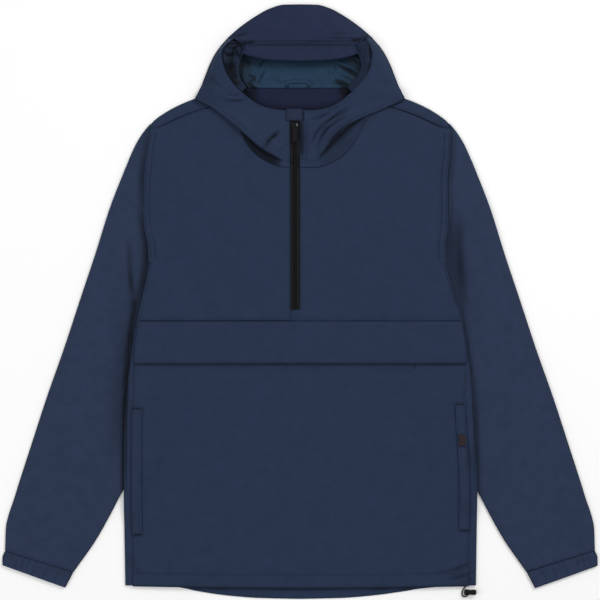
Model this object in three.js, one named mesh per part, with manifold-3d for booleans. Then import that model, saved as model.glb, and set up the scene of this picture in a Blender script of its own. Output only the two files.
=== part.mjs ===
import * as THREE from 'three';
import { mergeVertices } from 'three/addons/utils/BufferGeometryUtils.js';
import Module from 'manifold-3d';

const wasm = await Module();
wasm.setup();

// Half-zip hooded anorak laid flat on its back.
// Millimetres: +X to the viewer's right, +Y towards the hood, +Z up from the surface it lies on.
// The origin is at the middle of its outline, on that surface.

// Driving dimensions
const CLOTH = 1.2;              // wall of one layer of shell cloth
const SEAM = 0.3;               // parting between pieces that are sewn together
const EDGE_GAP = 0.8;           // air between front and back layers at a folded edge
const MIDDLE_GAP = 1.9;         // the same in the middle of the body
const GAP_RUN = 70;             // how far in from an edge the middle gap is reached
const SLEEVE_RISE = 1.2;        // extra height in the middle of a sleeve
const LIFT = 4.9;               // how high the body's sides lie over the tucked sleeves
const LIFT_RUN = 45;            // how far the body takes to come down beside a sleeve
const YOKE_SEAM_Y = -29.7;      // seam between chest and lower front
const FLAP_DEPTH = 62.5;
const FLAP_WALL = 1.8;
const CASING_WALL = 2.2;        // turned hem with the drawcord tunnel
const SLIT_LEFT = -15;          // the zip shows between these two edges
const SLIT_RIGHT = 0;
const SLIT_BOTTOM = -11.5;
const CENTRE_SEAM_X = -14.2;    // short seam below the zip
const ZIP_TOP = 268;
const TAPE_LAP = 4;             // tape hidden under each edge of the slit
const TAPE_WALL = 0.9;
const COIL_WIDTH = 5.2;
const COIL_HEIGHT = 1.4;
const HOOD_FOLD = 2;            // middle radius of the hood's outer fold
const RIM_HEIGHT = 14;          // hood opening's edge above the surface, at the sides
const BRIM_HEIGHT = 16;
const OVER_BODY = 4.7;          // underside of the hood where it lies on the shoulders
const BACK_NECK_Y = 319;        // neck seam at the back
const HOOD_CORNER = { x: 109, y: 396 };   // where crown and hood side meet
const NECK_PANEL_HALF = 82;     // centre hood panel's half width at the neck

const NAVY = 0x2b3449;
const SLEEVE_NAVY = 0x2e384e;
const TEAL = 0x24415a;
const PLUM = 0x34334b;
const BLACK = 0x0c0d12;

// Rows of a table, with its columns named.
function named(columns, rows) {
  return rows.map((row) => Object.fromEntries(columns.map((name, k) => [name, row[k]])));
}

// Outline of shoulder and sleeve, one side; the other mirrors it
const OUTLINE = [
  { y: 315, x: 116 }, { y: 305.6, x: 155 }, { y: 287.6, x: 196 }, { y: 269, x: 222.5 },
  { y: 251.6, x: 237 }, { y: 233.6, x: 247.5 }, { y: 197.6, x: 262.5 }, { y: 143.6, x: 284 },
  { y: 71.6, x: 307 }, { y: 0, x: 331 }, { y: -72.4, x: 355 }, { y: -144.4, x: 380.5 },
  { y: -216.4, x: 404 }, { y: -288.4, x: 427 }, { y: -342.4, x: 442 }, { y: -375, x: 443 },
];

// Body's edge: armhole seam above the underarm, folded side below it
const BODY_EDGE = [
  { y: 269, left: 222.5, right: 222.5 }, { y: 256, left: 226.5, right: 227 },
  { y: 226, left: 231, right: 226.5 }, { y: 183, left: 235, right: 222.5 },
  { y: 138, left: 236.5, right: 223 }, { y: 108, left: 233, right: 221.5 },
  { y: 82, left: 228, right: 218 }, { y: 57, left: 227, right: 219.5 },
  { y: 33, left: 231, right: 225 }, { y: 7, left: 237, right: 232.5 },
  { y: -18, left: 243, right: 243 }, { y: -78, left: 253.5, right: 253.5 },
  { y: -117, left: 259, right: 257 }, { y: -177, left: 264, right: 260 },
  { y: -282, left: 264.5, right: 266 }, { y: -426, left: 262.5, right: 264.5 },
];
const ARMHOLE_TOP = 268;
const YOKE_END = 260.8;         // forward shoulder seam meets the armhole here
const UNDERARM = 60;

// Heights of the rows of points that front and back share along their edges
const LOWER_ROWS = [-415, -408.2, -407.4, -390, -370, -345, -330, -315, -295, -250, -200, -150, -92.5, -60];
const CHEST_ROWS = [10, 33, UNDERARM - 4, 75, 90, 105, 120, 135, 170, 215, 240];
// Places of the columns of points across the lower front, as shares of the half width
const LOWER_COLUMNS = [0.2, 0.4, 0.55, 0.66, 0.76, 0.86, 0.94, 1];

// Side seam's distance in from the folded side
const SIDE_INSET = [
  { y: 60, in: 3.2 }, { y: -60, in: 4 }, { y: -110, in: 8 }, { y: -155, in: 11.5 }, { y: -426, in: 11.5 },
];

// Forward shoulder seam, one side
const SHOULDER_SEAM = [
  { x: 112, y: 301 }, { x: 139.5, y: 292 }, { x: 162, y: 284.6 }, { x: 190.5, y: 273 }, { x: 213, y: 262 },
  { x: 217, y: 260.6 }, { x: 227, y: 260.4 },
];

// Front neckline, one side
const NECKLINE = [
  { x: 0, y: 205 }, { x: 24, y: 205 }, { x: 42, y: 209 }, { x: 60, y: 220 }, { x: 72, y: 232 },
  { x: 82, y: 247 }, { x: 90, y: 262 }, { x: 100, y: 281 }, { x: 112, y: 301 },
];

// Lower edges of front and back; the back hangs lower as a tail
const HEM = [
  { x: 0, front: -429.4, back: -446.6 }, { x: 60, front: -429.2, back: -445.2 },
  { x: 111, front: -428.6, back: -441.2 }, { x: 156, front: -428, back: -434.5 },
  { x: 182, front: -427.5, back: -429.2 }, { x: 215, front: -427, back: -426.6 },
  { x: 265, front: -426.2, back: -425.4 },
];

// Rows across a sleeve: where each meets the outer edge and the inner, underarm edge
const SLEEVE = [
  { outerY: 268, innerX: 227.4, innerY: 61 }, { outerY: 215, innerX: 213, innerY: 30 },
  { outerY: 150, innerX: 199, innerY: 0 }, { outerY: 85, innerX: 188, innerY: -35 },
  { outerY: 20, innerX: 182, innerY: -75 }, { outerY: -45, innerX: 183, innerY: -115 },
  { outerY: -105, innerX: 193, innerY: -155 }, { outerY: -165, innerX: 211, innerY: -195 },
  { outerY: -220, innerX: 236, innerY: -238 }, { outerY: -265, innerX: 262, innerY: -276 },
  { outerY: -305, innerX: 284, innerY: -318 }, { outerY: -342, innerX: 306, innerY: -357 },
  { outerY: -374, innerX: 340.4, innerY: -406.4 },
];
const CUFF = [
  { outerX: 443.3, outerY: -374.9, innerX: 341, innerY: -407.2 },
  { outerX: 446.8, outerY: -384, innerX: 346, innerY: -417 },
  { outerX: 447, outerY: -395.5, innerX: 352.5, innerY: -429.4 },
];

// Crown of the hood, one side
const CROWN = [
  { x: 0, y: 446.6 }, { x: 25, y: 446 }, { x: 45, y: 440.5 }, { x: 62, y: 431.6 },
  { x: 88.5, y: 413.6 }, { x: HOOD_CORNER.x, y: HOOD_CORNER.y },
];

// Lower edge of the brim, one side
const BRIM_EDGE = [
  { x: 0, y: 359.7 }, { x: 40, y: 361 }, { x: 60, y: 363.6 }, { x: 76, y: 367.5 }, { x: 88, y: 371.5 },
];
const BRIM_SEAM_Y = 383.5;
const BRIM_HALF = { seam: 81, edge: 88 };

// Sections of a hood side, from the crown corner round the opening to the zip.
// seam: hidden edge. fold: outer edge as seen. rim: edge of the opening, left and right.
// turn: 1 where the cloth doubles back under itself, 0 where it only steps up from the neckline.
// rise: how far it climbs between the seam and that turn.
const HOOD_SIDE = named(
  ['foldX', 'foldL', 'foldR', 'rimL', 'rimR', 'rimY', 'rimZ', 'seamX', 'seamY', 'turn', 'rise'],
  [
    [109.3, 395.3, 395.3, 97.4, 97.4, 393.8, 14, 106.6, 391.8, 1, 0],
    [120, 383, 383, 110, 104, 384, 14, 102.2, 379, 1, 0],
    [128, 371, 371, 116.5, 108, 371, 14, 99.5, 371, 1, 0],
    [136, 355, 355, 114.5, 106.5, 356, 14, 94.3, 355, 1, 0],
    [141.5, 341, 341, 109.5, 102, 342, 13.6, 89.7, 341, 1, 0],
    [148.5, 323, 323, 99, 89, 325.5, 13, 83.9, 323, 1, 0],
    [153, 313, 313, 93, 83, 319, 12.7, 97, 320.2, 1, 0],
    [157, 304.5, 304.5, 87, 77.5, 313.5, 12.3, 113.6, 314.5, 1, 0],
    [146, 297.5, 297.5, 80, 70.5, 307.5, 11.8, 113.6, 303, 1, 0],
    [132, 290.5, 292, 71, 63, 301, 11, 109, 291, 1, 0.3],
    [110, 274.5, 283, 60, 53, 294.4, 10.2, 101.4, 277.5, 0.8, 1.2],
    [92, 259, 275, 46, 42, 290, 9.5, 92.8, 261, 0.3, 1.3],
    [76, 245, 266, 38, 36, 288.6, 9.1, 81, 239, 0, 1.1],
    [60, 231, 252, 32, 32, 287.6, 8.8, 63, 218.6, 0, 0.8],
    [34, 216, 224, 24, 24, 287, 8.4, 36, 204.5, 0, 0.7],
    [24, 212, 213, 20, 18, 286.8, 8.3, 26, 202.4, 0, 0.7],
    [null, 210, 210, null, null, 286.7, 8.2, null, 202.4, 0, 0.7],
  ],
);

// Facing turned inside the opening: its inner edge, level with the hood side's first sections
const FACING = [
  { left: 84, right: 85, y: 389, z: 12.5 }, { left: 88.5, right: 90, y: 379, z: 10 },
  { left: 91, right: 93, y: 369, z: 8.2 }, { left: 92, right: 92.5, y: 354, z: 7.4 },
  { left: 91, right: 88, y: 341, z: 7.2 }, { left: 86.5, right: 79, y: 329.5, z: 7.2 },
  { left: 83.5, right: 75.5, y: 325.5, z: 7.2 }, { left: 80, right: 72, y: 321.5, z: 7.2 },
];

// Welt pockets: side seam to inner edge
const WELT = { width: 15, wall: 1.2 };
const WELTS = [
  { side: 'left', top: -158.5, bottom: -350.5 }, { side: 'right', top: -152, bottom: -344 },
];

// Largest folds: a line on the cloth, half width across it, and height, negative for a trough
const FOLDS = {
  sleeve: [
    { line: [[-264, 130], [-265, 70], [-272, 10], [-290, -60]], width: 13, height: 2.2 },
    { line: [[-296, 60], [-304, -10], [-318, -80]], width: 15, height: 1.8 },
    { line: [[258, 140], [258, 70], [270, 10], [290, -60]], width: 13, height: 2 },
    { line: [[276, 150], [284, 60], [300, -30]], width: 15, height: 2 },
    { line: [[-352, -160], [-330, -210], [-318, -262]], width: 16, height: 1.6 },
    { line: [[346, -150], [332, -205], [322, -270]], width: 16, height: 1.6 },
  ],
  hood: [
    { line: [[-126, 292], [-98, 273], [-74, 250], [-56, 235], [-38, 223]], width: 7, height: 2.4 },
    { line: [[128, 294], [106, 286], [88, 277], [74, 266], [60, 251], [42, 232]], width: 7, height: 2.2 },
    { line: [[84, 282], [56, 266], [32, 242]], width: 8, height: 2 },
    { line: [[-30, 262], [-54, 240]], width: 9, height: 1.6 },
    { line: [[-128, 350], [-134, 320], [-126, 300]], width: 9, height: 1.6 },
  ],
  facing: [
    { line: [[-114, 380], [-92, 370]], width: 6, height: 2 },
    { line: [[-114, 358], [-92, 348]], width: 6, height: -1.6 },
    { line: [[108, 380], [92, 372]], width: 7, height: -1.6 },
  ],
};

const mix = (a, b, t) => a + (b - a) * t;
const clamp01 = (t) => Math.min(1, Math.max(0, t));
const smooth = (t) => clamp01(t) ** 2 * (3 - 2 * clamp01(t));
const easeOut = (t) => 1 - (1 - t) ** 2;

// Smooth curve without overshoot through one column of a table against another.
function column(table, at, value) {
  const rows = [...table].sort((a, b) => a[at] - b[at]);
  const xs = rows.map((row) => row[at]);
  const ys = rows.map((row) => row[value]);
  const slopes = xs.slice(1).map((x, i) => (ys[i + 1] - ys[i]) / (x - xs[i]));
  const tangents = xs.map((x, i) => {
    if (i === 0) return slopes[0];
    if (i === xs.length - 1) return slopes[i - 1];
    if (slopes[i - 1] * slopes[i] <= 0) return 0;
    return (2 * slopes[i - 1] * slopes[i]) / (slopes[i - 1] + slopes[i]);
  });
  return (x) => {
    if (x <= xs[0]) return ys[0];
    if (x >= xs.at(-1)) return ys.at(-1);
    const i = xs.findIndex((right) => right > x) - 1;
    const span = xs[i + 1] - xs[i];
    const t = (x - xs[i]) / span;
    const rise = (3 - 2 * t) * t * t;
    return ys[i] * (1 - rise) + ys[i + 1] * rise
      + span * (tangents[i] * t * (1 - t) ** 2 - tangents[i + 1] * t * t * (1 - t));
  };
}

// The same, against the row's number.
const byRow = (table, value) => column(table.map((row, i) => ({ i, [value]: row[value] })), 'i', value);

const outlineX = column(OUTLINE, 'y', 'x');
const bodyEdge = { left: column(BODY_EDGE, 'y', 'left'), right: column(BODY_EDGE, 'y', 'right') };
const sideInset = column(SIDE_INSET, 'y', 'in');
const shoulderSeamX = column(SHOULDER_SEAM, 'y', 'x');
const frontTopY = column([...NECKLINE, ...SHOULDER_SEAM.slice(1)], 'x', 'y');
const frontHem = column(HEM, 'x', 'front');
const backHem = column(HEM, 'x', 'back');
const underarmX = column(SLEEVE, 'innerY', 'innerX');
const crownY = column(CROWN, 'x', 'y');
const brimEdgeY = column(BRIM_EDGE, 'x', 'y');
const sign = { left: -1, right: 1 };
const sideOf = (x) => (x < 0 ? 'left' : 'right');

// Edge of the body at a height, on one side: shoulder outline, armhole or folded side.
function bodyHalf(side, y) {
  return y > ARMHOLE_TOP ? outlineX(y) : bodyEdge[side](y);
}

// Height of the back panel's underside: flat on the surface, raised over the tucked sleeves.
function lift(x, y) {
  const across = smooth((Math.abs(x) - underarmX(y) + 8 + LIFT_RUN) / LIFT_RUN);
  const along = smooth((128 - y) / 58) * smooth((y + 345) / 50);
  return LIFT * across * along;
}

function bodyGap(x, y) {
  const inside = bodyHalf(sideOf(x), y) - Math.abs(x);
  return mix(EDGE_GAP, MIDDLE_GAP, smooth(inside / GAP_RUN));
}

const backMiddle = (x, y) => lift(x, y) + CLOTH / 2;
const frontMiddle = (x, y) => lift(x, y) + CLOTH * 1.5 + bodyGap(x, y);

// Underside of the hood: on the surface, and over the shoulders and the front neckline.
function hoodUnder(x, y) {
  const shoulder = smooth((Math.abs(x) - 96) / 14) * smooth((324 - y) / 6);
  const front = smooth((308 - y) / 8);
  return OVER_BODY * Math.max(shoulder, front);
}

// Collar height beside the zip.
const collarMiddle = (y) => mix(6.7, 8.2, easeOut(clamp01((y - 210) / 76.7)));

// Height that the folds give at a place. Each rises and fades towards its two ends.
function foldHeight(on, x, y) {
  let total = 0;
  for (const { line, width, height } of FOLDS[on]) {
    let nearest = Infinity;
    let along = 0;
    for (let k = 0; k + 1 < line.length; k += 1) {
      const [ax, ay] = line[k];
      const [bx, by] = line[k + 1];
      const t = clamp01(((x - ax) * (bx - ax) + (y - ay) * (by - ay)) / ((bx - ax) ** 2 + (by - ay) ** 2));
      const away = Math.hypot(x - mix(ax, bx, t), y - mix(ay, by, t));
      if (away >= nearest) continue;
      nearest = away;
      along = (k + t) / (line.length - 1);
    }
    total += height * Math.exp(-((nearest / width) ** 2)) * Math.sin(Math.PI * mix(0.08, 0.92, along)) ** 0.6;
  }
  return total;
}

// A cloth wall on a grid of middle points, with thickness laid to both sides.
// keep picks the cells that have cloth; ring closes the grid on itself across the columns.
function clothWall({ columns, rows, point, wall = CLOTH, keep = () => true, ring = false }) {
  const width = ring ? columns : columns + 1;
  const wallAt = typeof wall === 'function' ? wall : () => wall;
  const index = (i, j) => j * width + (i % width);
  const middle = [];
  for (let j = 0; j <= rows; j += 1) {
    for (let i = 0; i < width; i += 1) middle.push(point(i, j));
  }
  const cells = [];
  for (let j = 0; j < rows; j += 1) {
    for (let i = 0; i < columns; i += 1) {
      if (keep(i, j)) cells.push([index(i, j), index(i + 1, j), index(i + 1, j + 1), index(i, j + 1)]);
    }
  }
  const normals = middle.map(() => new THREE.Vector3());
  for (const [a, b, c, d] of cells) {
    const face = new THREE.Vector3().crossVectors(
      middle[c].clone().sub(middle[a]), middle[d].clone().sub(middle[b]),
    );
    if (face.lengthSq() > 1e-12) face.normalize();
    for (const corner of [a, b, c, d]) normals[corner].add(face);
  }
  const positions = [];
  const top = new Map();
  const bottom = new Map();
  for (const corner of new Set(cells.flat())) {
    const half = wallAt(corner % width, Math.floor(corner / width)) / 2;
    const step = normals[corner].normalize().multiplyScalar(half);
    top.set(corner, positions.length / 3);
    positions.push(...middle[corner].clone().add(step).toArray());
    bottom.set(corner, positions.length / 3);
    positions.push(...middle[corner].clone().sub(step).toArray());
  }
  const faces = [];
  const edges = new Map();
  for (const cell of cells) {
    const [a, b, c, d] = cell.map((corner) => top.get(corner));
    const [e, f, g, h] = cell.map((corner) => bottom.get(corner));
    faces.push(a, b, c, a, c, d, e, g, f, e, h, g);
    cell.forEach((from, k) => edges.set(`${from},${cell[(k + 1) % 4]}`, [from, cell[(k + 1) % 4]]));
  }
  for (const [from, to] of edges.values()) {
    if (edges.has(`${to},${from}`)) continue;
    faces.push(top.get(from), bottom.get(from), bottom.get(to), top.get(from), bottom.get(to), top.get(to));
  }
  const geometry = new THREE.BufferGeometry();
  geometry.setAttribute('position', new THREE.Float32BufferAttribute(positions, 3));
  geometry.setIndex(facingOut(positions, faces));
  geometry.computeVertexNormals();
  return geometry;
}

// Turns the faces over if they enclose a negative volume.
function facingOut(positions, faces) {
  const corner = (k) => new THREE.Vector3().fromArray(positions, 3 * faces[k]);
  let volume = 0;
  for (let k = 0; k < faces.length; k += 3) {
    volume += corner(k).dot(corner(k + 1).cross(corner(k + 2)));
  }
  if (volume > 0) return faces;
  const turned = [];
  for (let k = 0; k < faces.length; k += 3) turned.push(faces[k], faces[k + 2], faces[k + 1]);
  return turned;
}

const group = new THREE.Group();

function add(name, geometry, color, roughness = 0.6, metalness = 0) {
  const mesh = new THREE.Mesh(geometry, new THREE.MeshStandardMaterial({ color, roughness, metalness }));
  mesh.name = name;
  group.add(mesh);
  return mesh;
}

// Back panel: flat below, folded to the front at both sides and over the shoulders.
function back() {
  const shoulderRows = [277, 286, 294, 301, 308, 315];
  const heights = [
    -426, ...LOWER_ROWS, YOKE_SEAM_Y, SLIT_BOTTOM, ...CHEST_ROWS, YOKE_END, ARMHOLE_TOP, ...shoulderRows,
  ];
  const across = [0.1, 0.25, 0.4, 0.55, 0.68, 0.8, 0.92];
  const foldSteps = 3;
  const lapSteps = 2;
  const half = [];
  for (let k = lapSteps; k > 0; k -= 1) half.push({ kind: 'lap', at: k / lapSteps });
  for (let k = foldSteps; k >= 0; k -= 1) half.push({ kind: 'fold', at: k / foldSteps });
  for (let k = across.length - 1; k >= 0; k -= 1) half.push({ kind: 'flat', at: across[k] });
  const layout = [
    ...half.map((place) => ({ ...place, side: 'left' })),
    ...[...half].reverse().map((place) => ({ ...place, side: 'right' })),
  ];
  const point = (i, j) => {
    const { kind, at, side } = layout[i];
    const y = heights[j];
    const edge = bodyHalf(side, y) - SEAM / 2;
    const low = backMiddle(sign[side] * edge, y);
    const high = frontMiddle(sign[side] * edge, y);
    const radius = (high - low) / 2;
    const centre = edge - radius - CLOTH / 2;
    const inArmhole = y > UNDERARM && y < ARMHOLE_TOP;
    if (kind === 'fold' && at === 0 && inArmhole) return new THREE.Vector3(sign[side] * edge, y, low);
    if (kind === 'fold') {
      const angle = (at - 0.5) * Math.PI;
      const out = centre + radius * Math.cos(angle);
      return new THREE.Vector3(sign[side] * out, y, (low + high) / 2 + radius * Math.sin(angle));
    }
    if (kind === 'lap') {
      const inner = y > YOKE_END - 1 ? Math.max(112.3, shoulderSeamX(y)) + SEAM : edge - sideInset(y);
      const x = mix(centre, Math.min(inner, centre - 0.4), at) * sign[side];
      return new THREE.Vector3(x, y, frontMiddle(x, y));
    }
    const x = centre * at * sign[side];
    const tail = smooth((-370 - y) / 56);
    const drop = (backHem(Math.abs(x)) + 426) * tail;
    const rise = (BACK_NECK_Y - 315) * smooth((108 - Math.abs(x)) / 25) * smooth((y - 286) / 29);
    return new THREE.Vector3(x, y + drop + rise, backMiddle(x, y));
  };
  const keep = (i, j) => {
    const low = heights[j];
    const kinds = [layout[i].kind, layout[i + 1].kind];
    if (kinds.includes('flat')) return true;
    const sideRow = low < UNDERARM - 5;
    if (kinds.includes('lap')) return sideRow || low >= YOKE_END;
    return sideRow || low >= ARMHOLE_TOP;
  };
  add('back', clothWall({ columns: layout.length - 1, rows: heights.length - 1, point, keep }), NAVY);
}

// A chest half, from the zip slit or centre seam to the armhole, and from the flap seam to the neck.
function chest(side) {
  const slit = side === 'left' ? -SLIT_LEFT : SLIT_RIGHT;
  const seam = -sign[side] * CENTRE_SEAM_X;
  const reach = 226.5;
  const tops = [0, 10, 24, 42, 58, 72, 84, 94, 103, 112, 130, 150, 172, 194, 213, reach];
  const heights = [YOKE_SEAM_Y + SEAM / 2, SLIT_BOTTOM - 0.8, SLIT_BOTTOM, ...CHEST_ROWS, YOKE_END];
  const shares = heights.map((y) => (y - heights[0]) / (YOKE_END - heights[0]));
  const point = (i, j) => {
    const inner = (j > 1 ? slit : -seam) + SEAM / 2;
    const share = tops[i] / reach;
    const top = frontTopY(mix(Math.abs(slit), reach, share)) - 0.7;
    const start = (heights[Math.min(j, 2)] - heights[0]) / (heights[2] - heights[0]);
    const rest = (shares[j] - shares[2]) / (1 - shares[2]);
    const y = j < 3 ? mix(heights[0], heights[2], start) : mix(heights[2], top, rest);
    const inset = y < UNDERARM ? sideInset(y) : 0;
    const edge = Math.min(bodyEdge[side](y) - inset - SEAM, y > 250 ? reach : Infinity);
    const x = sign[side] * mix(inner, edge, share);
    return new THREE.Vector3(x, y, frontMiddle(x, y));
  };
  add(`chest_${side}`, clothWall({ columns: tops.length - 1, rows: heights.length - 1, point }), NAVY);
}

// Grid of the lower front, from the flap seam to the hem, with the hem turned up as a casing.
const lowerHeights = [YOKE_SEAM_Y - SEAM / 2, ...[...LOWER_ROWS].reverse(), -426.4];
const lowerAcross = [...LOWER_COLUMNS.map((share) => -share).reverse(), 0, ...LOWER_COLUMNS];
const casing = (y) => y < -408;

function lowerPoint(i, j) {
  const side = sideOf(lowerAcross[i]);
  const y = lowerHeights[j];
  const edge = bodyEdge[side](y) - sideInset(y) - SEAM;
  const x = lowerAcross[i] * edge;
  const drop = (frontHem(Math.abs(x)) + 426.4) * smooth((-370 - y) / 56);
  const rise = casing(y) ? (CASING_WALL - CLOTH) / 2 : 0;
  return new THREE.Vector3(x, y + drop, frontMiddle(x, y) + rise);
}

function lowerFront() {
  const wall = (i, j) => (casing(lowerHeights[j]) ? CASING_WALL : CLOTH);
  const columns = lowerAcross.length - 1;
  add('front_lower', clothWall({ columns, rows: lowerHeights.length - 1, point: lowerPoint, wall }), NAVY);
}

// A place on the lower front between its own points, given as a share across and a height.
function onLowerFront(share, y) {
  const i = Math.min(lowerAcross.findLastIndex((a) => a <= share), lowerAcross.length - 2);
  const j = Math.min(lowerHeights.findLastIndex((h) => h >= y), lowerHeights.length - 2);
  const u = (share - lowerAcross[i]) / (lowerAcross[i + 1] - lowerAcross[i]);
  const v = (y - lowerHeights[j]) / (lowerHeights[j + 1] - lowerHeights[j]);
  const near = lowerPoint(i, j).lerp(lowerPoint(i + 1, j), u);
  return near.lerp(lowerPoint(i, j + 1).lerp(lowerPoint(i + 1, j + 1), u), v);
}

// A sheet that lies on the lower front, made from its points moved out.
function patch({ shares, heights, wall, above = 0 }) {
  const step = new THREE.Vector3(0, 0, CLOTH / 2 + SEAM + above + wall / 2);
  const point = (i, j) => onLowerFront(shares[i], heights[j]).add(step);
  return clothWall({ columns: shares.length - 1, rows: heights.length - 1, point, wall });
}

function pocketFlap() {
  const heights = [YOKE_SEAM_Y - SEAM, -60, YOKE_SEAM_Y - FLAP_DEPTH];
  add('pocket_flap', patch({ shares: lowerAcross, heights, wall: FLAP_WALL }), NAVY);
}

function welt({ side, top, bottom }) {
  const inner = 1 - WELT.width / 252;
  const shares = side === 'left' ? [-1, -inner] : [inner, 1];
  const heights = [top, ...lowerHeights.filter((y) => y < top && y > bottom), bottom];
  add(`welt_${side}`, patch({ shares, heights, wall: WELT.wall, above: 0.15 }), NAVY);
}

// Small bare loop sewn beside the right welt.
function sideTab() {
  const heights = [-199, -216];
  add('side_tab', patch({ shares: [0.95, 0.99], heights, wall: 1, above: WELT.wall + SEAM + 0.3 }), BLACK);
}

// Section of a flattened tube between two edge points: back layer, fold, front layer, fold.
function flatTubeRing(outer, inner, bow, rise, wall, folds = () => 0) {
  const radius = (wall + EDGE_GAP) / 2;
  const run = new THREE.Vector2().subVectors(inner, outer);
  const length = run.length();
  run.normalize();
  const inset = radius + wall / 2;
  const foldAngles = [-90, -45, 0, 45, 90];
  const layerStops = [0.05, 0.14, 0.27, 0.41, 0.55, 0.69, 0.82, 0.93];
  const ring = [];
  const spot = (along) => {
    const base = outer.clone().addScaledVector(run, along);
    return base.addScaledVector(new THREE.Vector2(1, 0), bow(clamp01(along / length)));
  };
  for (const degrees of foldAngles) {
    const angle = THREE.MathUtils.degToRad(degrees);
    const p = spot(inset - radius * Math.cos(angle));
    ring.push(new THREE.Vector3(p.x, p.y, wall / 2 + radius + radius * Math.sin(angle)));
  }
  for (const t of layerStops) {
    const p = spot(mix(inset, length - inset, t));
    const arch = rise * Math.sin(Math.PI * t) ** 0.7;
    ring.push(new THREE.Vector3(p.x, p.y, wall / 2 + 2 * radius + arch + folds(p.x, p.y)));
  }
  for (const degrees of [...foldAngles].reverse()) {
    const angle = THREE.MathUtils.degToRad(degrees);
    const p = spot(length - inset + radius * Math.cos(angle));
    ring.push(new THREE.Vector3(p.x, p.y, wall / 2 + radius + radius * Math.sin(angle)));
  }
  for (const t of [...layerStops].reverse()) {
    const p = spot(mix(inset, length - inset, t));
    ring.push(new THREE.Vector3(p.x, p.y, wall / 2));
  }
  return ring;
}

function tubeFromRings(rings, side, wall) {
  const point = (i, j) => {
    const p = rings[j][i];
    return new THREE.Vector3(sign[side] * p.x, p.y, p.z);
  };
  return clothWall({ columns: rings[0].length, rows: rings.length - 1, point, wall, ring: true });
}

function sleeve(side) {
  const steps = 15;
  const outerY = byRow(SLEEVE, 'outerY');
  const innerX = byRow(SLEEVE, 'innerX');
  const innerY = byRow(SLEEVE, 'innerY');
  const rings = [];
  for (let j = 0; j <= steps; j += 1) {
    const row = (j / steps) * (SLEEVE.length - 1);
    const y = outerY(row);
    const underarmShift = (bodyEdge[side](UNDERARM) - bodyEdge.left(UNDERARM)) * smooth(1 - row / 4);
    const outer = new THREE.Vector2(Math.max(outlineX(y), 223), y);
    const inner = new THREE.Vector2(innerX(row) + underarmShift, innerY(row));
    const hold = (1 - row / 5) ** 2 * (row < 5 ? 1 : 0);
    const swell = 32 * smooth(row / 1.5) * smooth((8 - row) / 5);
    const bow = (t) => {
      const height = mix(268, 61, t);
      const straight = mix(223, 227.4 + bodyEdge[side](UNDERARM) - bodyEdge.left(UNDERARM), t);
      return (bodyEdge[side](height) + 2 * SEAM - straight) * hold + swell * Math.sin(Math.PI * t);
    };
    const rise = SLEEVE_RISE * Math.min(1, (steps - j + 1) / 3);
    const folds = (x, y) => foldHeight('sleeve', sign[side] * x, y);
    rings.push(flatTubeRing(outer, inner, bow, rise, CLOTH, folds));
  }
  add(`sleeve_${side}`, tubeFromRings(rings, side, CLOTH), SLEEVE_NAVY);
}

const CUFF_WALL = 1.6;
function cuff(side) {
  const wall = CUFF_WALL;
  const rings = CUFF.map((row) => flatTubeRing(
    new THREE.Vector2(row.outerX, row.outerY), new THREE.Vector2(row.innerX, row.innerY),
    () => 0, 0.4, wall,
  ));
  add(`cuff_${side}`, tubeFromRings(rings, side, wall), SLEEVE_NAVY);
}

// Direction square to the crown's outline.
const crownOut = (x, y) => new THREE.Vector2(x, y - 330).normalize();

// Centre panel of the hood: from the brim seam over the crown and down the back to the neck.
function hoodCentre() {
  const columns = 18;
  const frontRows = 6;
  const foldRows = 4;
  const backRows = 6;
  const point = (i, j) => {
    const u = (2 * i) / columns - 1;
    const foldX = HOOD_CORNER.x * Math.sin((u * Math.PI) / 2);
    const foldY = crownY(Math.abs(foldX));
    const out = crownOut(foldX, foldY);
    const fold = new THREE.Vector2(foldX, foldY).addScaledVector(out, -HOOD_FOLD - CLOTH / 2);
    const low = CLOTH / 2;
    const high = low + 2 * HOOD_FOLD;
    if (j <= frontRows) {
      const t = j / frontRows;
      const x = u * 96.6;
      const seamY = BRIM_SEAM_Y + SEAM / 2 + 13 * smooth((Math.abs(x) - BRIM_HALF.seam) / 15.5);
      const top = mix(BRIM_HEIGHT, RIM_HEIGHT, smooth((Math.abs(x) - 60) / 36));
      return new THREE.Vector3(mix(x, fold.x, t), mix(seamY, fold.y, t), mix(high, top, easeOut(1 - t)));
    }
    if (j <= frontRows + foldRows) {
      const angle = Math.PI * (0.5 - (j - frontRows) / foldRows);
      const p = fold.clone().addScaledVector(out, HOOD_FOLD * Math.cos(angle));
      return new THREE.Vector3(p.x, p.y, low + HOOD_FOLD + HOOD_FOLD * Math.sin(angle));
    }
    const t = (j - frontRows - foldRows) / backRows;
    return new THREE.Vector3(mix(fold.x, u * NECK_PANEL_HALF, t), mix(fold.y, BACK_NECK_Y + SEAM, t), low);
  };
  add('hood_centre', clothWall({ columns, rows: frontRows + foldRows + backRows, point }), NAVY);
}

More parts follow.
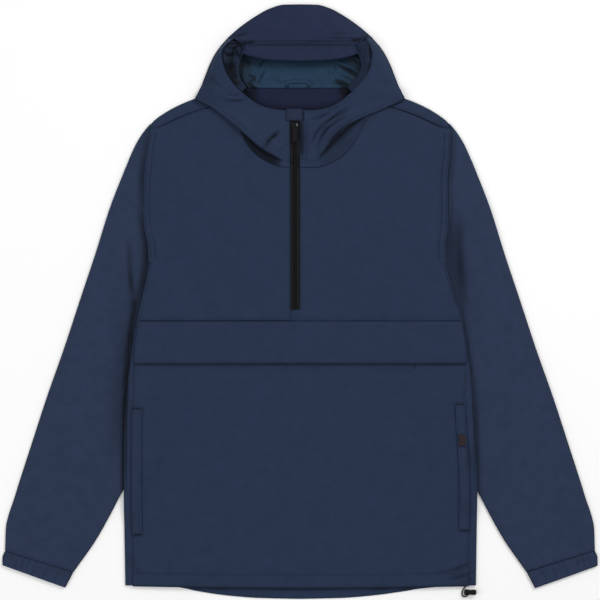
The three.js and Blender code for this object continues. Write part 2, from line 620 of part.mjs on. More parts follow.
// One section across a hood side: seam, under layer, fold, top layer, rim.
function hoodSideSection(side, row) {
  const slit = side === 'left' ? -SLIT_LEFT : SLIT_RIGHT;
  const at = (name) => byRow(HOOD_SIDE.map((r) => ({ v: r[name] ?? slit + SEAM / 2 })), 'v')(row);
  const seam = new THREE.Vector2(at('seamX'), at('seamY'));
  const edge = new THREE.Vector2(at('foldX'), at(side === 'left' ? 'foldL' : 'foldR'));
  const rim = new THREE.Vector2(at(side === 'left' ? 'rimL' : 'rimR'), at('rimY'));
  const turn = at('turn');
  const radius = mix(0.35, HOOD_FOLD, turn);
  const out = new THREE.Vector2().subVectors(edge, rim).normalize();
  out.lerp(crownOut(HOOD_CORNER.x, HOOD_CORNER.y), clamp01(1 - row)).normalize();
  const fold = edge.clone().addScaledVector(out, -turn * (radius + CLOTH / 2));
  const under = (p) => hoodUnder(p.x, p.y) + CLOTH / 2;
  const points = [];
  const underSteps = 4;
  for (let k = 0; k < underSteps; k += 1) {
    const p = seam.clone().lerp(fold, k / underSteps);
    points.push(new THREE.Vector3(p.x, p.y, under(p) + (at('rise') * k) / underSteps));
  }
  const low = under(fold) + at('rise');
  for (let k = 0; k <= 4; k += 1) {
    const angle = Math.PI * (k / 4 - 0.5);
    const slope = (1 - turn) * 1.2 * (k / 4 - 0.5);
    const p = fold.clone().addScaledVector(out, turn * radius * Math.cos(angle) - slope);
    points.push(new THREE.Vector3(p.x, p.y, low + radius + radius * Math.sin(angle)));
  }
  const topSteps = 4;
  const start = points.at(-1).clone();
  for (let k = 1; k <= topSteps; k += 1) {
    const t = k / topSteps;
    const x = mix(start.x, rim.x, t);
    const y = mix(start.y, rim.y, t);
    const z = mix(start.z, at('rimZ'), easeOut(t)) + foldHeight('hood', sign[side] * x, y) * (1 - t * t);
    points.push(new THREE.Vector3(x, y, z));
  }
  return points;
}

// Rows of the hood side: two to a section beside the opening, one further down the collar.
const hoodRows = [...Array(2 * FACING.length - 1).keys()].map((k) => k / 2);
for (let row = FACING.length; row < HOOD_SIDE.length; row += 1) hoodRows.push(row);

function hoodSide(side) {
  const sections = hoodRows.map((row) => hoodSideSection(side, row));
  const point = (i, j) => sections[j][i].clone().multiply(new THREE.Vector3(sign[side], 1, 1));
  const columns = sections[0].length - 1;
  add(`hood_side_${side}`, clothWall({ columns, rows: sections.length - 1, point }), NAVY);
}

// Stitched casing along the hood's front edge.
const BRIM_WALL = 2;
function hoodBrim() {
  const columns = 16;
  const rows = 3;
  const point = (i, j) => {
    const u = (2 * i) / columns - 1;
    const v = j / rows;
    const x = u * mix(BRIM_HALF.seam, BRIM_HALF.edge, v);
    const y = mix(BRIM_SEAM_Y - SEAM / 2, brimEdgeY(Math.abs(x)), v);
    const top = mix(BRIM_HEIGHT, RIM_HEIGHT, smooth((Math.abs(x) - 60) / 36));
    return new THREE.Vector3(x, y, top + 0.6 * v);
  };
  add('hood_brim', clothWall({ columns, rows, point, wall: BRIM_WALL }), NAVY);
}

// Lining's half width, from the neck seam to its end inside the crown
const LINING = [
  { y: 320, half: 76 }, { y: 340, half: 100 }, { y: 370, half: 104 },
  { y: 395, half: 90 }, { y: 422, half: 50 },
];
const LINING_Z = CLOTH * 1.5 + SEAM;

// Lining where it shows through the opening: a shallow dish inside the hood.
function hoodLining() {
  const columns = 16;
  const rows = 10;
  const bottom = BACK_NECK_Y + 2;
  const top = 422;
  const halfWidth = column(LINING, 'y', 'half');
  const point = (i, j) => {
    const u = (2 * i) / columns - 1;
    const y = mix(bottom, top, j / rows);
    const sides = 2.6 * smooth((Math.abs(u) - 0.7) / 0.3) * smooth((y - bottom - 5) / 20);
    const crown = 1.4 * smooth((y - top + 26) / 26);
    return new THREE.Vector3(u * halfWidth(y), y, LINING_Z + sides + crown);
  };
  add('hood_lining', clothWall({ columns, rows, point }), TEAL);
}

// Facing inside the back neck: straight along the neck seam, rounded below.
function neckFacing() {
  const columns = 12;
  const rows = 5;
  const halfWidth = 84;
  const lowest = 262;
  const curve = 34;
  const point = (i, j) => {
    const u = (2 * i) / columns - 1;
    const y = mix(BACK_NECK_Y + 1, lowest + curve * u * u, j / rows);
    return new THREE.Vector3(u * halfWidth, y, LINING_Z);
  };
  add('neck_facing', clothWall({ columns, rows, point }), PLUM);
}

// Facing turned to the inside along the opening's sides.
function openingFacing(side) {
  const columns = 4;
  const stops = [0.35, ...hoodRows.filter((row) => row >= 0.5 && row < FACING.length)];
  const inner = (name, row) => byRow(FACING, name)(row);
  const point = (i, j) => {
    const row = stops[j];
    const rim = hoodSideSection(side, row).at(-1);
    const edge = new THREE.Vector3(inner(side, row), inner('y', row), inner('z', row));
    const start = rim.clone().addScaledVector(edge.clone().sub(rim).normalize(), 4 * SEAM);
    const t = i / columns;
    const p = start.clone().lerp(edge, t);
    p.x *= sign[side];
    p.z = mix(rim.z, edge.z, t ** 1.4) + foldHeight('facing', p.x, p.y) * Math.sin(Math.PI * t);
    return p;
  };
  add(`opening_facing_${side}`, clothWall({ columns, rows: stops.length - 1, point }), NAVY);
}

// Hanger loop: a narrow tape with its two ends caught in the neck seam.
const LOOP = { left: -22.5, right: 16.5, end: 7, bottom: 321.4, under: 324.6, top: 333, bevel: 2, wall: 1 };
function hangerLoop() {
  const { left, right, end, bottom, under, top, bevel, wall } = LOOP;
  const shape = new THREE.Shape([
    new THREE.Vector2(left, bottom), new THREE.Vector2(left + end, bottom),
    new THREE.Vector2(left + end, under), new THREE.Vector2(right - end, under),
    new THREE.Vector2(right - end, bottom), new THREE.Vector2(right, bottom),
    new THREE.Vector2(right, top - bevel), new THREE.Vector2(right - bevel, top),
    new THREE.Vector2(left + bevel, top), new THREE.Vector2(left, top - bevel),
  ]);
  const geometry = new THREE.ExtrudeGeometry(shape, { depth: wall, bevelEnabled: false });
  const loop = add('hanger_loop', geometry, TEAL);
  loop.position.z = CLOTH * 2 + 2 * SEAM;
}

const zipX = (SLIT_LEFT + SLIT_RIGHT) / 2;

// Middle height of the tape: under the chest panels, then under the collar.
function tapeMiddle(y) {
  const chestZ = CLOTH + MIDDLE_GAP - SEAM - TAPE_WALL / 2;
  const collarZ = collarMiddle(y) - CLOTH / 2 - SEAM - TAPE_WALL / 2;
  return mix(chestZ, collarZ, smooth((y - 206) / 12));
}

function zipStrip(name, halfWidth, bottom, top, wall, above) {
  const rows = 22;
  const point = (i, j) => {
    const y = mix(bottom, top, j / rows);
    return new THREE.Vector3(zipX + (2 * i - 1) * halfWidth, y, tapeMiddle(y) + above);
  };
  add(name, clothWall({ columns: 1, rows, point, wall }), BLACK);
}

const coilAbove = TAPE_WALL / 2 + SEAM + COIL_HEIGHT / 2;
const SLIDER = { length: 11, wide: 9, narrow: 6.4, height: 2.4, bevel: 0.4, y: 262 };
const BRIDGE = { length: 5.2, post: 1, clear: 1.9, bar: 0.8, width: 2.2, sunk: 0.3 };
const PULL = { length: 24, width: 6.4, wall: 1.2, root: 0.6, slotLength: 4.4, slotWidth: 3.2, corner: 2.6 };

// A closed three.js shape as a solid that can be joined to another.
function solid(geometry) {
  const plain = geometry.index ? geometry.toNonIndexed() : geometry.clone();
  plain.deleteAttribute('normal');
  plain.deleteAttribute('uv');
  const merged = mergeVertices(plain, 1e-4);
  return new wasm.Manifold(new wasm.Mesh({
    numProp: 3,
    vertProperties: merged.attributes.position.array,
    triVerts: new Uint32Array(merged.index.array),
  }));
}

function fromSolid(joined) {
  const mesh = joined.getMesh();
  const geometry = new THREE.BufferGeometry();
  geometry.setAttribute('position', new THREE.Float32BufferAttribute(mesh.vertProperties, 3));
  geometry.setIndex([...mesh.triVerts]);
  geometry.computeVertexNormals();
  return geometry;
}

// Slider body with a bridge on top, which holds the pull's root bar.
function zipSlider(seat) {
  const { length, wide, narrow, height, bevel } = SLIDER;
  const outline = new THREE.Shape([
    new THREE.Vector2(-wide / 2, length / 2), new THREE.Vector2(-narrow / 2, -length / 2),
    new THREE.Vector2(narrow / 2, -length / 2), new THREE.Vector2(wide / 2, length / 2),
  ]);
  const body = new THREE.ExtrudeGeometry(outline, {
    depth: height - 2 * bevel, bevelThickness: bevel, bevelSize: bevel, bevelOffset: -bevel, bevelSegments: 2,
  });
  body.translate(0, 0, bevel);
  const half = BRIDGE.length / 2;
  const inside = half - BRIDGE.post;
  const top = BRIDGE.clear + BRIDGE.bar;
  const arch = new THREE.Shape([
    new THREE.Vector2(-half, -BRIDGE.sunk), new THREE.Vector2(-inside, -BRIDGE.sunk),
    new THREE.Vector2(-inside, BRIDGE.clear), new THREE.Vector2(inside, BRIDGE.clear),
    new THREE.Vector2(inside, -BRIDGE.sunk), new THREE.Vector2(half, -BRIDGE.sunk),
    new THREE.Vector2(half, top - 0.6), new THREE.Vector2(half - 0.6, top),
    new THREE.Vector2(-half + 0.6, top), new THREE.Vector2(-half, top - 0.6),
  ]);
  const bridge = new THREE.ExtrudeGeometry(arch, { depth: BRIDGE.width, bevelEnabled: false });
  bridge.rotateX(Math.PI / 2);
  bridge.rotateZ(Math.PI / 2);
  bridge.translate(-BRIDGE.width / 2, 0, height);
  const slider = add('zip_slider', fromSolid(solid(body).add(solid(bridge))), BLACK, 0.35, 0.6);
  slider.position.set(zipX, SLIDER.y, seat);
}

// Pull: a flat tab with a slot that passes round the bridge. It swings about its root bar.
function zipPull(seat) {
  const half = PULL.width / 2;
  const end = PULL.root - PULL.length;
  const tab = new THREE.Shape();
  tab.moveTo(-half, PULL.root);
  tab.lineTo(half, PULL.root);
  tab.lineTo(half, end + PULL.corner);
  tab.quadraticCurveTo(half, end, half - PULL.corner, end);
  tab.lineTo(-half + PULL.corner, end);
  tab.quadraticCurveTo(-half, end, -half, end + PULL.corner);
  tab.closePath();
  const slotEnd = -PULL.root - PULL.slotLength;
  tab.holes.push(new THREE.Path([
    new THREE.Vector2(-PULL.slotWidth / 2, -PULL.root), new THREE.Vector2(-PULL.slotWidth / 2, slotEnd),
    new THREE.Vector2(PULL.slotWidth / 2, slotEnd), new THREE.Vector2(PULL.slotWidth / 2, -PULL.root),
  ]));
  const geometry = new THREE.ExtrudeGeometry(tab, {
    depth: PULL.wall, bevelEnabled: false, curveSegments: 4,
  });
  const pull = add('zip_pull', geometry, BLACK, 0.5, 0.1);
  pull.position.set(zipX, SLIDER.y, seat + SLIDER.height + (BRIDGE.clear - PULL.wall) / 2);
}

function zip() {
  zipStrip('zip_tape', -SLIT_LEFT / 2 + TAPE_LAP, SLIT_BOTTOM - 3, ZIP_TOP, TAPE_WALL, 0);
  zipStrip('zip_coil', COIL_WIDTH / 2, SLIT_BOTTOM + 1, ZIP_TOP - 1, COIL_HEIGHT, coilAbove);
  const seat = tapeMiddle(SLIDER.y) + coilAbove + COIL_HEIGHT / 2 + SEAM;
  zipSlider(seat);
  zipPull(seat);
}

// Tab over the top of the zip.
const GARAGE = { left: -21, right: 4.5, bottom: 271, top: 289, wall: 1, above: 0.6 };
function zipGarage() {
  const { left, right, bottom, top, wall, above } = GARAGE;
  const point = (i, j) => {
    const y = mix(bottom, top, j / 4);
    const z = collarMiddle(Math.min(y, 286)) + CLOTH / 2 + above + wall / 2;
    return new THREE.Vector3(mix(left, right, i / 4), y, z);
  };
  add('zip_garage', clothWall({ columns: 4, rows: 4, point, wall }), PLUM);
}

// Narrow placket on the right of the zip, up the collar.
const PLACKET = { left: 0.6, right: 10.5, bottom: 214, top: 269.5, wall: 0.9, above: 0.5 };
function placket() {
  const { left, right, bottom, top, wall, above } = PLACKET;
  const point = (i, j) => {
    const y = mix(bottom, top, j / 8);
    return new THREE.Vector3(mix(left, right, i / 2), y, collarMiddle(y) + CLOTH / 2 + above + wall / 2);
  };
  add('zip_placket', clothWall({ columns: 2, rows: 8, point, wall }), PLUM);
}

// Barrel lock below the right end of the hem.
const LOCK = { x: 255.5, y: -436, length: 18, radius: 4.4, waist: 3.4 };
function cordLock() {
  const half = LOCK.length / 2;
  const profile = [
    [0, -half], [LOCK.radius - 0.8, -half], [LOCK.radius, -half + 0.8], [LOCK.radius, -1.4],
    [LOCK.waist, -0.8], [LOCK.waist, 1.2], [LOCK.radius - 0.4, 1.8], [LOCK.radius - 0.4, half - 1.2],
    [LOCK.radius - 1.6, half], [0, half],
  ].map(([r, h]) => new THREE.Vector2(r, h));
  const lock = add('cord_lock', new THREE.LatheGeometry(profile, 16), BLACK, 0.4, 0);
  lock.rotation.z = -Math.PI / 2;
  lock.position.set(LOCK.x, LOCK.y, LOCK.radius + 0.05);
}

// Elastic cord out of the hem's tunnel, past the end of the lock and back to it in a small loop.
const CORD_THICK = 1.8;
function hemCord() {
  const route = [
    { x: 248.4, y: -427.2, z: 2 }, { x: 247, y: -429.5, z: 1.6 }, { x: 245, y: -432.4, z: 1.2 },
    { x: 243.4, y: -436, z: 1.1 }, { x: 243.4, y: -440, z: 1.1 }, { x: 246.2, y: -443.2, z: 1.1 },
    { x: 250, y: -442.6, z: 1.1 }, { x: 251.8, y: -440.55, z: 1.1 },
  ].map(({ x, y, z }) => new THREE.Vector3(x, y, z));
  const ring = new THREE.Shape();
  const sides = 8;
  for (let k = 0; k < sides; k += 1) {
    const angle = (2 * Math.PI * k) / sides;
    const p = [Math.cos(angle) * CORD_THICK / 2, Math.sin(angle) * CORD_THICK / 2];
    if (k === 0) ring.moveTo(...p);
    else ring.lineTo(...p);
  }
  const path = new THREE.CatmullRomCurve3(route);
  add('hem_cord', new THREE.ExtrudeGeometry(ring, { steps: 14, extrudePath: path }), BLACK, 0.8);
}

back();
chest('left');
chest('right');
lowerFront();
pocketFlap();
WELTS.forEach(welt);
sideTab();
for (const side of ['left', 'right']) {
  sleeve(side);
  cuff(side);
  hoodSide(side);
  openingFacing(side);
}
hoodCentre();
hoodBrim();
hoodLining();
neckFacing();
hangerLoop();
zip();
zipGarage();
placket();
cordLock();
hemCord();

export default group;
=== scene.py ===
"""Half-zip hooded anorak, laid flat: cloth shells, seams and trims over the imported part."""

import math

import bpy
import numpy as np
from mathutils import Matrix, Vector
from mathutils.bvhtree import BVHTree


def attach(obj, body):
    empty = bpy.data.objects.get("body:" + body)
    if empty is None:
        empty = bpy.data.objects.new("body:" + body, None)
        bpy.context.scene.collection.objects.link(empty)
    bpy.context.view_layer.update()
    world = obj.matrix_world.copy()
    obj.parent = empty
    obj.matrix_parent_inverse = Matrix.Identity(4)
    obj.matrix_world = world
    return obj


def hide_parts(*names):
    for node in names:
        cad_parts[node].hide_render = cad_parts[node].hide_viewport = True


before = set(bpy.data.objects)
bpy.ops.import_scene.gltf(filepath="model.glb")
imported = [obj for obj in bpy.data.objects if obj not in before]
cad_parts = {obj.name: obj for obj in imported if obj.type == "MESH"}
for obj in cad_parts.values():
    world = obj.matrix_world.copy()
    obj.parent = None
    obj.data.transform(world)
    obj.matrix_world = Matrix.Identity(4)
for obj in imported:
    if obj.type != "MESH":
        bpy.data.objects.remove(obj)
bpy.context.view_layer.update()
scene = bpy.context.scene
MM = 0.001

# Camera: straight above, with the garment filling the square frame
VIEW_WIDTH = 0.9
VIEW_CENTRE_Y = 0.0026
VIEW_PLANE_Z = 0.005
LENS = 100
camera_data = bpy.data.cameras.new("camera")
camera_data.lens = LENS
camera = bpy.data.objects.new("camera", camera_data)
scene.collection.objects.link(camera)
distance = VIEW_WIDTH / 2 / math.tan(math.atan(camera_data.sensor_width / 2 / LENS))
camera.location = (0, VIEW_CENTRE_Y, distance + VIEW_PLANE_Z)
scene.camera = camera

SIDES = {-1: "left", 1: "right"}

# Sizes of the solids, in millimetres
CLOTH = 1.2
SEAM = 0.3
EDGE_GAP = 0.8
MIDDLE_GAP = 1.9
GAP_RUN = 70
SLEEVE_RISE = 1.2
LIFT = 4.9
LIFT_RUN = 45
YOKE_SEAM_Y = -29.7
FLAP_DEPTH = 62.5
FLAP_WALL = 1.8
CASING_WALL = 2.2
SLIT = {-1: 15.0, 1: 0.0}
SLIT_BOTTOM = -11.5
CENTRE_SEAM_X = -14.2
ZIP_X = -7.5
ZIP_TOP = 268
TAPE_WALL = 0.9
HOOD_FOLD = 2
RIM_HEIGHT = 14
BRIM_HEIGHT = 16
BRIM_WALL = 2
OVER_BODY = 4.7
BACK_NECK_Y = 319
ARMHOLE_TOP = 268
YOKE_END = 260.8
UNDERARM = 60
HEM_Y = -426
LOWER_EDGE_Y = -426.4
TAIL_TOP = -370
TAIL_RUN = 56
CASING_Y = -408
SHOULDER_TOP = 315
TAPE_RISE_Y = 206
CUFF_WALL = 1.6
WELT_ENDS = {-1: (-158.5, -350.5), 1: (-152, -344)}

# Where the topstitching of the armhole begins and ends, by y
SEWN_LOW, SEWN_HIGH = 62, 256
TRIM_BEVEL = 0.18
FLOOR_DROP = 0.4

# Points over the turn of a fold, across a tube's front layer, and across a hood side's two layers
TURN_POINTS = 9
TUBE_POINTS = 40
UNDER_COLUMNS = 12
TOP_COLUMNS = 56
CROWN_ROWS = 56
# Columns of a hood side that place its stitches
RIM_STITCH_COLUMN = -20
FOLD_STITCH_COLUMN = UNDER_COLUMNS + TURN_POINTS + 3


def curve(xs, ys):
    """Smooth curve through points, without overshoot."""
    order = np.argsort(xs)
    x = np.array(xs, float)[order]
    y = np.array(ys, float)[order]
    step = np.diff(x)
    slope = np.diff(y) / step
    tangent = np.zeros(len(x))
    tangent[0], tangent[-1] = slope[0], slope[-1]
    for i in range(1, len(x) - 1):
        if slope[i - 1] * slope[i] > 0:
            tangent[i] = 2 * slope[i - 1] * slope[i] / (slope[i - 1] + slope[i])

    def at(q):
        q = np.clip(q, x[0], x[-1])
        i = np.clip(np.searchsorted(x, q, side="right") - 1, 0, len(x) - 2)
        t = (q - x[i]) / step[i]
        rise = (3 - 2 * t) * t * t
        bend = tangent[i] * t * (1 - t) ** 2 - tangent[i + 1] * t * t * (1 - t)
        return y[i] * (1 - rise) + y[i + 1] * rise + step[i] * bend

    return at


def table(text):
    """A table's columns by name, one a line."""
    columns = [line.split() for line in text.strip().splitlines()]
    return {name: np.array(values, float) for name, *values in columns}


OUTLINE = table("""
y 315 305.6 287.6 269 251.6 233.6 197.6 143.6 71.6 0 -72.4 -144.4 -216.4 -288.4 -342.4 -375
x 116 155 196 222.5 237 247.5 262.5 284 307 331 355 380.5 404 427 442 443
""")
BODY_EDGE = table("""
y 269 256 226 183 138 108 82 57 33 7 -18 -78 -117 -177 -282 -426
left 222.5 226.5 231 235 236.5 233 228 227 231 237 243 253.5 259 264 264.5 262.5
right 222.5 227 226.5 222.5 223 221.5 218 219.5 225 232.5 243 253.5 257 260 266 264.5
""")
SIDE_INSET = table("""
y 60 -60 -110 -155 -426
inset 3.2 4 8 11.5 11.5
""")
SHOULDER_SEAM = table("""
x 112 139.5 162 190.5 213 217 227
y 301 292 284.6 273 262 260.6 260.4
""")
NECKLINE = table("""
x 0 24 42 60 72 82 90 100 112
y 205 205 209 220 232 247 262 281 301
""")
HEM = table("""
x 0 60 111 156 182 215 265
front -429.4 -429.2 -428.6 -428 -427.5 -427 -426.2
back -446.6 -445.2 -441.2 -434.5 -429.2 -426.6 -425.4
""")
SLEEVE = table("""
outer_y 268 215 150 85 20 -45 -105 -165 -220 -265 -305 -342 -374
inner_x 227.4 213 199 188 182 183 193 211 236 262 284 306 340.4
inner_y 61 30 0 -35 -75 -115 -155 -195 -238 -276 -318 -357 -406.4
""")
CUFF = table("""
outer_x 443.3 446.8 447
outer_y -374.9 -384 -395.5
inner_x 341 346 352.5
inner_y -407.2 -417 -429.4
""")
CROWN = table("""
x 0 25 45 62 88.5 109
y 446.6 446 440.5 431.6 413.6 396
""")
BRIM_EDGE = table("""
x 0 40 60 76 88
y 359.7 361 363.6 367.5 371.5
""")
BRIM_SEAM_Y = 383.5
HOOD_SIDE = table("""
fold_x 109.3 120 128 136 141.5 148.5 153 157 146 132 110 92 76 60 34 24 nan
fold_left 395.3 383 371 355 341 323 313 304.5 297.5 290.5 274.5 259 245 231 216 212 210
fold_right 395.3 383 371 355 341 323 313 304.5 297.5 292 283 275 266 252 224 213 210
rim_left 97.4 110 116.5 114.5 109.5 99 93 87 80 71 60 46 38 32 24 20 nan
rim_right 97.4 104 108 106.5 102 89 83 77.5 70.5 63 53 42 36 32 24 18 nan
rim_y 393.8 384 371 356 342 325.5 319 313.5 307.5 301 294.4 290 288.6 287.6 287 286.8 286.7
rim_z 14 14 14 14 13.6 13 12.7 12.3 11.8 11 10.2 9.5 9.1 8.8 8.4 8.3 8.2
seam_x 106.6 102.2 99.5 94.3 89.7 83.9 97 113.6 113.6 109 101.4 92.8 81 63 36 26 nan
seam_y 391.8 379 371 355 341 323 320.2 314.5 303 291 277.5 261 239 218.6 204.5 202.4 202.4
turn 1 1 1 1 1 1 1 1 1 1 0.8 0.3 0 0 0 0 0
rise 0 0 0 0 0 0 0 0 0 0.3 1.2 1.3 1.1 0.8 0.7 0.7 0.7
""")
FACING = table("""
left 74 78 85 91 91 86.5 83.5 80
right 75 80 88 92 88 79 75.5 72
y 390 379 369 354 341 329.5 325.5 321.5
z 12.4 10 8.2 7.4 7.2 7.2 7.2 7.2
""")
LINING = table("""
y 320 340 370 395 422
half 76 100 104 90 50
""")


def mix(a, b, t):
    return a + (b - a) * t


def smooth(t):
    t = np.clip(t, 0, 1)
    return t * t * (3 - 2 * t)


def ease_out(t):
    return 1 - (1 - t) ** 2


def bell(off, width):
    return np.exp(-((off / width) ** 2))


outline_x = curve(OUTLINE["y"], OUTLINE["x"])
body_edge = {
    -1: curve(BODY_EDGE["y"], BODY_EDGE["left"]),
    1: curve(BODY_EDGE["y"], BODY_EDGE["right"]),
}
side_inset = curve(SIDE_INSET["y"], SIDE_INSET["inset"])
shoulder_x = curve(SHOULDER_SEAM["y"], SHOULDER_SEAM["x"])
front_top_y = curve([*NECKLINE["x"], *SHOULDER_SEAM["x"][1:]], [*NECKLINE["y"], *SHOULDER_SEAM["y"][1:]])
front_hem_y = curve(HEM["x"], HEM["front"])
back_hem_y = curve(HEM["x"], HEM["back"])
underarm_x = curve(SLEEVE["inner_y"], SLEEVE["inner_x"])
crown_y = curve(CROWN["x"], CROWN["y"])
brim_y = curve(BRIM_EDGE["x"], BRIM_EDGE["y"])


def body_half(side, y):
    return np.where(y > ARMHOLE_TOP, outline_x(y), body_edge[side](y))


def body_half_at(x, y):
    return np.where(x < 0, body_half(-1, y), body_half(1, y))


def lift(x, y):
    """How high the back's underside lies over the tucked sleeves."""
    across = smooth((np.abs(x) - underarm_x(y) + 8 + LIFT_RUN) / LIFT_RUN)
    along = smooth((128 - y) / 58) * smooth((y + 345) / 50)
    return LIFT * across * along


def back_z(x, y):
    return lift(x, y) + CLOTH / 2


def inside_edge(x, y):
    """Distance from the front's side edge."""
    return body_half_at(x, y) - np.abs(x)


def air_below(x, y):
    """Gap between the front and the back."""
    return mix(EDGE_GAP, MIDDLE_GAP, smooth(inside_edge(x, y) / GAP_RUN))


def front_z(x, y):
    return lift(x, y) + CLOTH * 1.5 + air_below(x, y)


def tail_share(y):
    """From 0 to 1 down to the hem, where the hem's curve is added."""
    return smooth((TAIL_TOP - y) / TAIL_RUN)


def hood_under(x, y):
    shoulder = smooth((np.abs(x) - 96) / 14) * smooth((324 - y) / 6)
    return OVER_BODY * np.maximum(shoulder, smooth((308 - y) / 8))


def collar_z(y):
    return mix(6.7, 8.2, ease_out(np.clip((y - 210) / 76.7, 0, 1)))


def creases(text):
    """Creases given one a line: points along the middle, then half width, height, which is
    negative for a trough, and how much the cloth is shaded in it. They fade towards both ends."""
    rows = []
    for line in text.strip().splitlines():
        points, sizes = line.split("|")
        points = np.array([point.split(",") for point in points.split()], float)
        rows.append((points, *map(float, sizes.split())))
    return rows


FRONT_CREASES = creases("""
-200,-36 -100,-33 40,-35 190,-33 | 7 0.35 0
-242,-92 -120,-99 20,-97 150,-99 244,-92 | 6 -0.3 0.12
171,-93 172,-104 | 1.6 -0.5 0.3
-170,-180 -60,-230 70,-220 | 34 0.7 0
-150,-330 -20,-300 120,-345 | 38 0.8 0
60,-140 150,-190 190,-260 | 30 0.6 0
-200,-130 -150,-210 -190,-330 | 26 0.6 0
-120,150 -70,80 -60,10 | 30 0.7 0
60,170 110,100 90,10 | 32 0.7 0
-190,210 -160,140 -170,60 | 24 0.6 0
170,220 150,150 180,60 | 26 0.6 0
-30,190 -34,60 -28,-8 | 9 0.5 0
14,195 16,70 12,-8 | 9 0.5 0
206,-407 232,-402 261,-390 | 3 -0.9 0.45
214,-403 240,-397 261,-385 | 3.6 1.2 0
224,-416 246,-412 262,-404 | 2.6 -0.8 0.42
222,-411 244,-406 262,-397 | 3 1.3 0
232,-423 250,-419 263,-414 | 2.6 1 0.2
236,-388 250,-380 262,-366 | 4 0.9 0.05
-262,-388 -246,-402 -232,-420 | 3 0.8 0.18
-262,-374 -250,-386 -240,-404 | 3 0.7 0.16
-130,-412 -128,-427 | 3 0.5 0
-58,-411 -60,-427 | 3 0.5 0
44,-411 47,-428 | 3 0.6 0
126,-410 120,-427 | 3 0.6 0.05
214,250 216,214 213,150 212,90 | 4 0.8 0
-222,240 -226,190 -227,130 -220,80 | 4 0.8 0
218,246 206,236 | 2.4 -0.5 0.15
216,200 204,196 | 2.6 0.7 0
-225,214 -212,208 | 2.6 0.7 0
214,124 200,116 | 3 0.7 0
-226,96 -212,86 | 3 0.7 0
242,40 226,10 222,-20 | 6 0.9 0.03
-232,30 -224,4 -230,-22 | 6 0.9 0.03
248,-40 243,-66 246,-90 | 4 0.7 0.04
238,-150 239,-250 243,-340 | 3 0.5 0
247,-150 252,-220 256,-345 | 2.6 -0.5 0.12
253,-205 260,-225 266,-255 | 3 1.1 0.1
247,-214 256,-240 262,-262 | 2.6 -0.6 0.16
-246,-160 -247,-250 -247,-350 | 2.6 0.5 0
-247,-12 -252.8,-60 -259,-117 -261,-177 -261.5,-285 | 2.4 0 0.8
240,-10 252,-78 258,-117 261,-177 262,-290 | 2 0 0.4
""")
SLEEVE_CREASES = creases("""
-264,130 -265,70 -272,10 -290,-60 | 13 2.2 0
-296,60 -304,-10 -318,-80 | 15 1.8 0
258,140 258,70 270,10 290,-60 | 13 2 0
276,150 284,60 300,-30 | 15 2 0
-352,-160 -330,-210 -318,-262 | 16 1.6 0
346,-150 332,-205 322,-270 | 16 1.6 0
-257,94 -255,45 -250,-8 | 4.2 -0.8 0.58
237,126 240,60 248,-10 | 6.5 -0.8 0.44
-236,130 -232,90 -231,62 -235,33 -241,6 -250,-30 -260,-84 | 6 0 0.75
-249,0 -255.5,-60 -261.5,-117 -264,-177 -265,-300 | 3.8 0 1.15
-246,20 -268,-100 -278,-240 | 14 0 0.26
228,130 226,60 238,10 250,-30 | 9 0 0.42
244,126 242,60 250,0 | 5 0 0.16
240,-10 254,-78 260,-117 264,-177 269,-290 | 4 0 0.6
-300,200 -350,20 -420,-240 | 16 0 0.04
-229,256 -234,226 -238,183 -240,138 -236,96 | 4.4 0 0.5
231,254 230,220 226,183 227,140 225,112 222,84 | 3.8 0 0.42
-386,-300 -372,-330 -352,-352 | 9 1 0.02
-420,-322 -408,-350 -398,-372 | 6 1 0.03
-380,-350 -374,-370 -372,-390 | 5 0.8 0.04
398,-296 384,-328 360,-352 | 9 1 0.02
432,-330 424,-352 420,-372 | 5 1 0.04
388,-350 384,-366 378,-386 | 5 0.8 0.04
-270,236 -290,190 -312,120 | 18 0.9 0
262,230 286,180 304,110 | 18 0.9 0
-350,-20 -368,-80 -392,-150 | 20 0.8 0
352,-40 376,-110 396,-160 | 20 0.8 0
""")
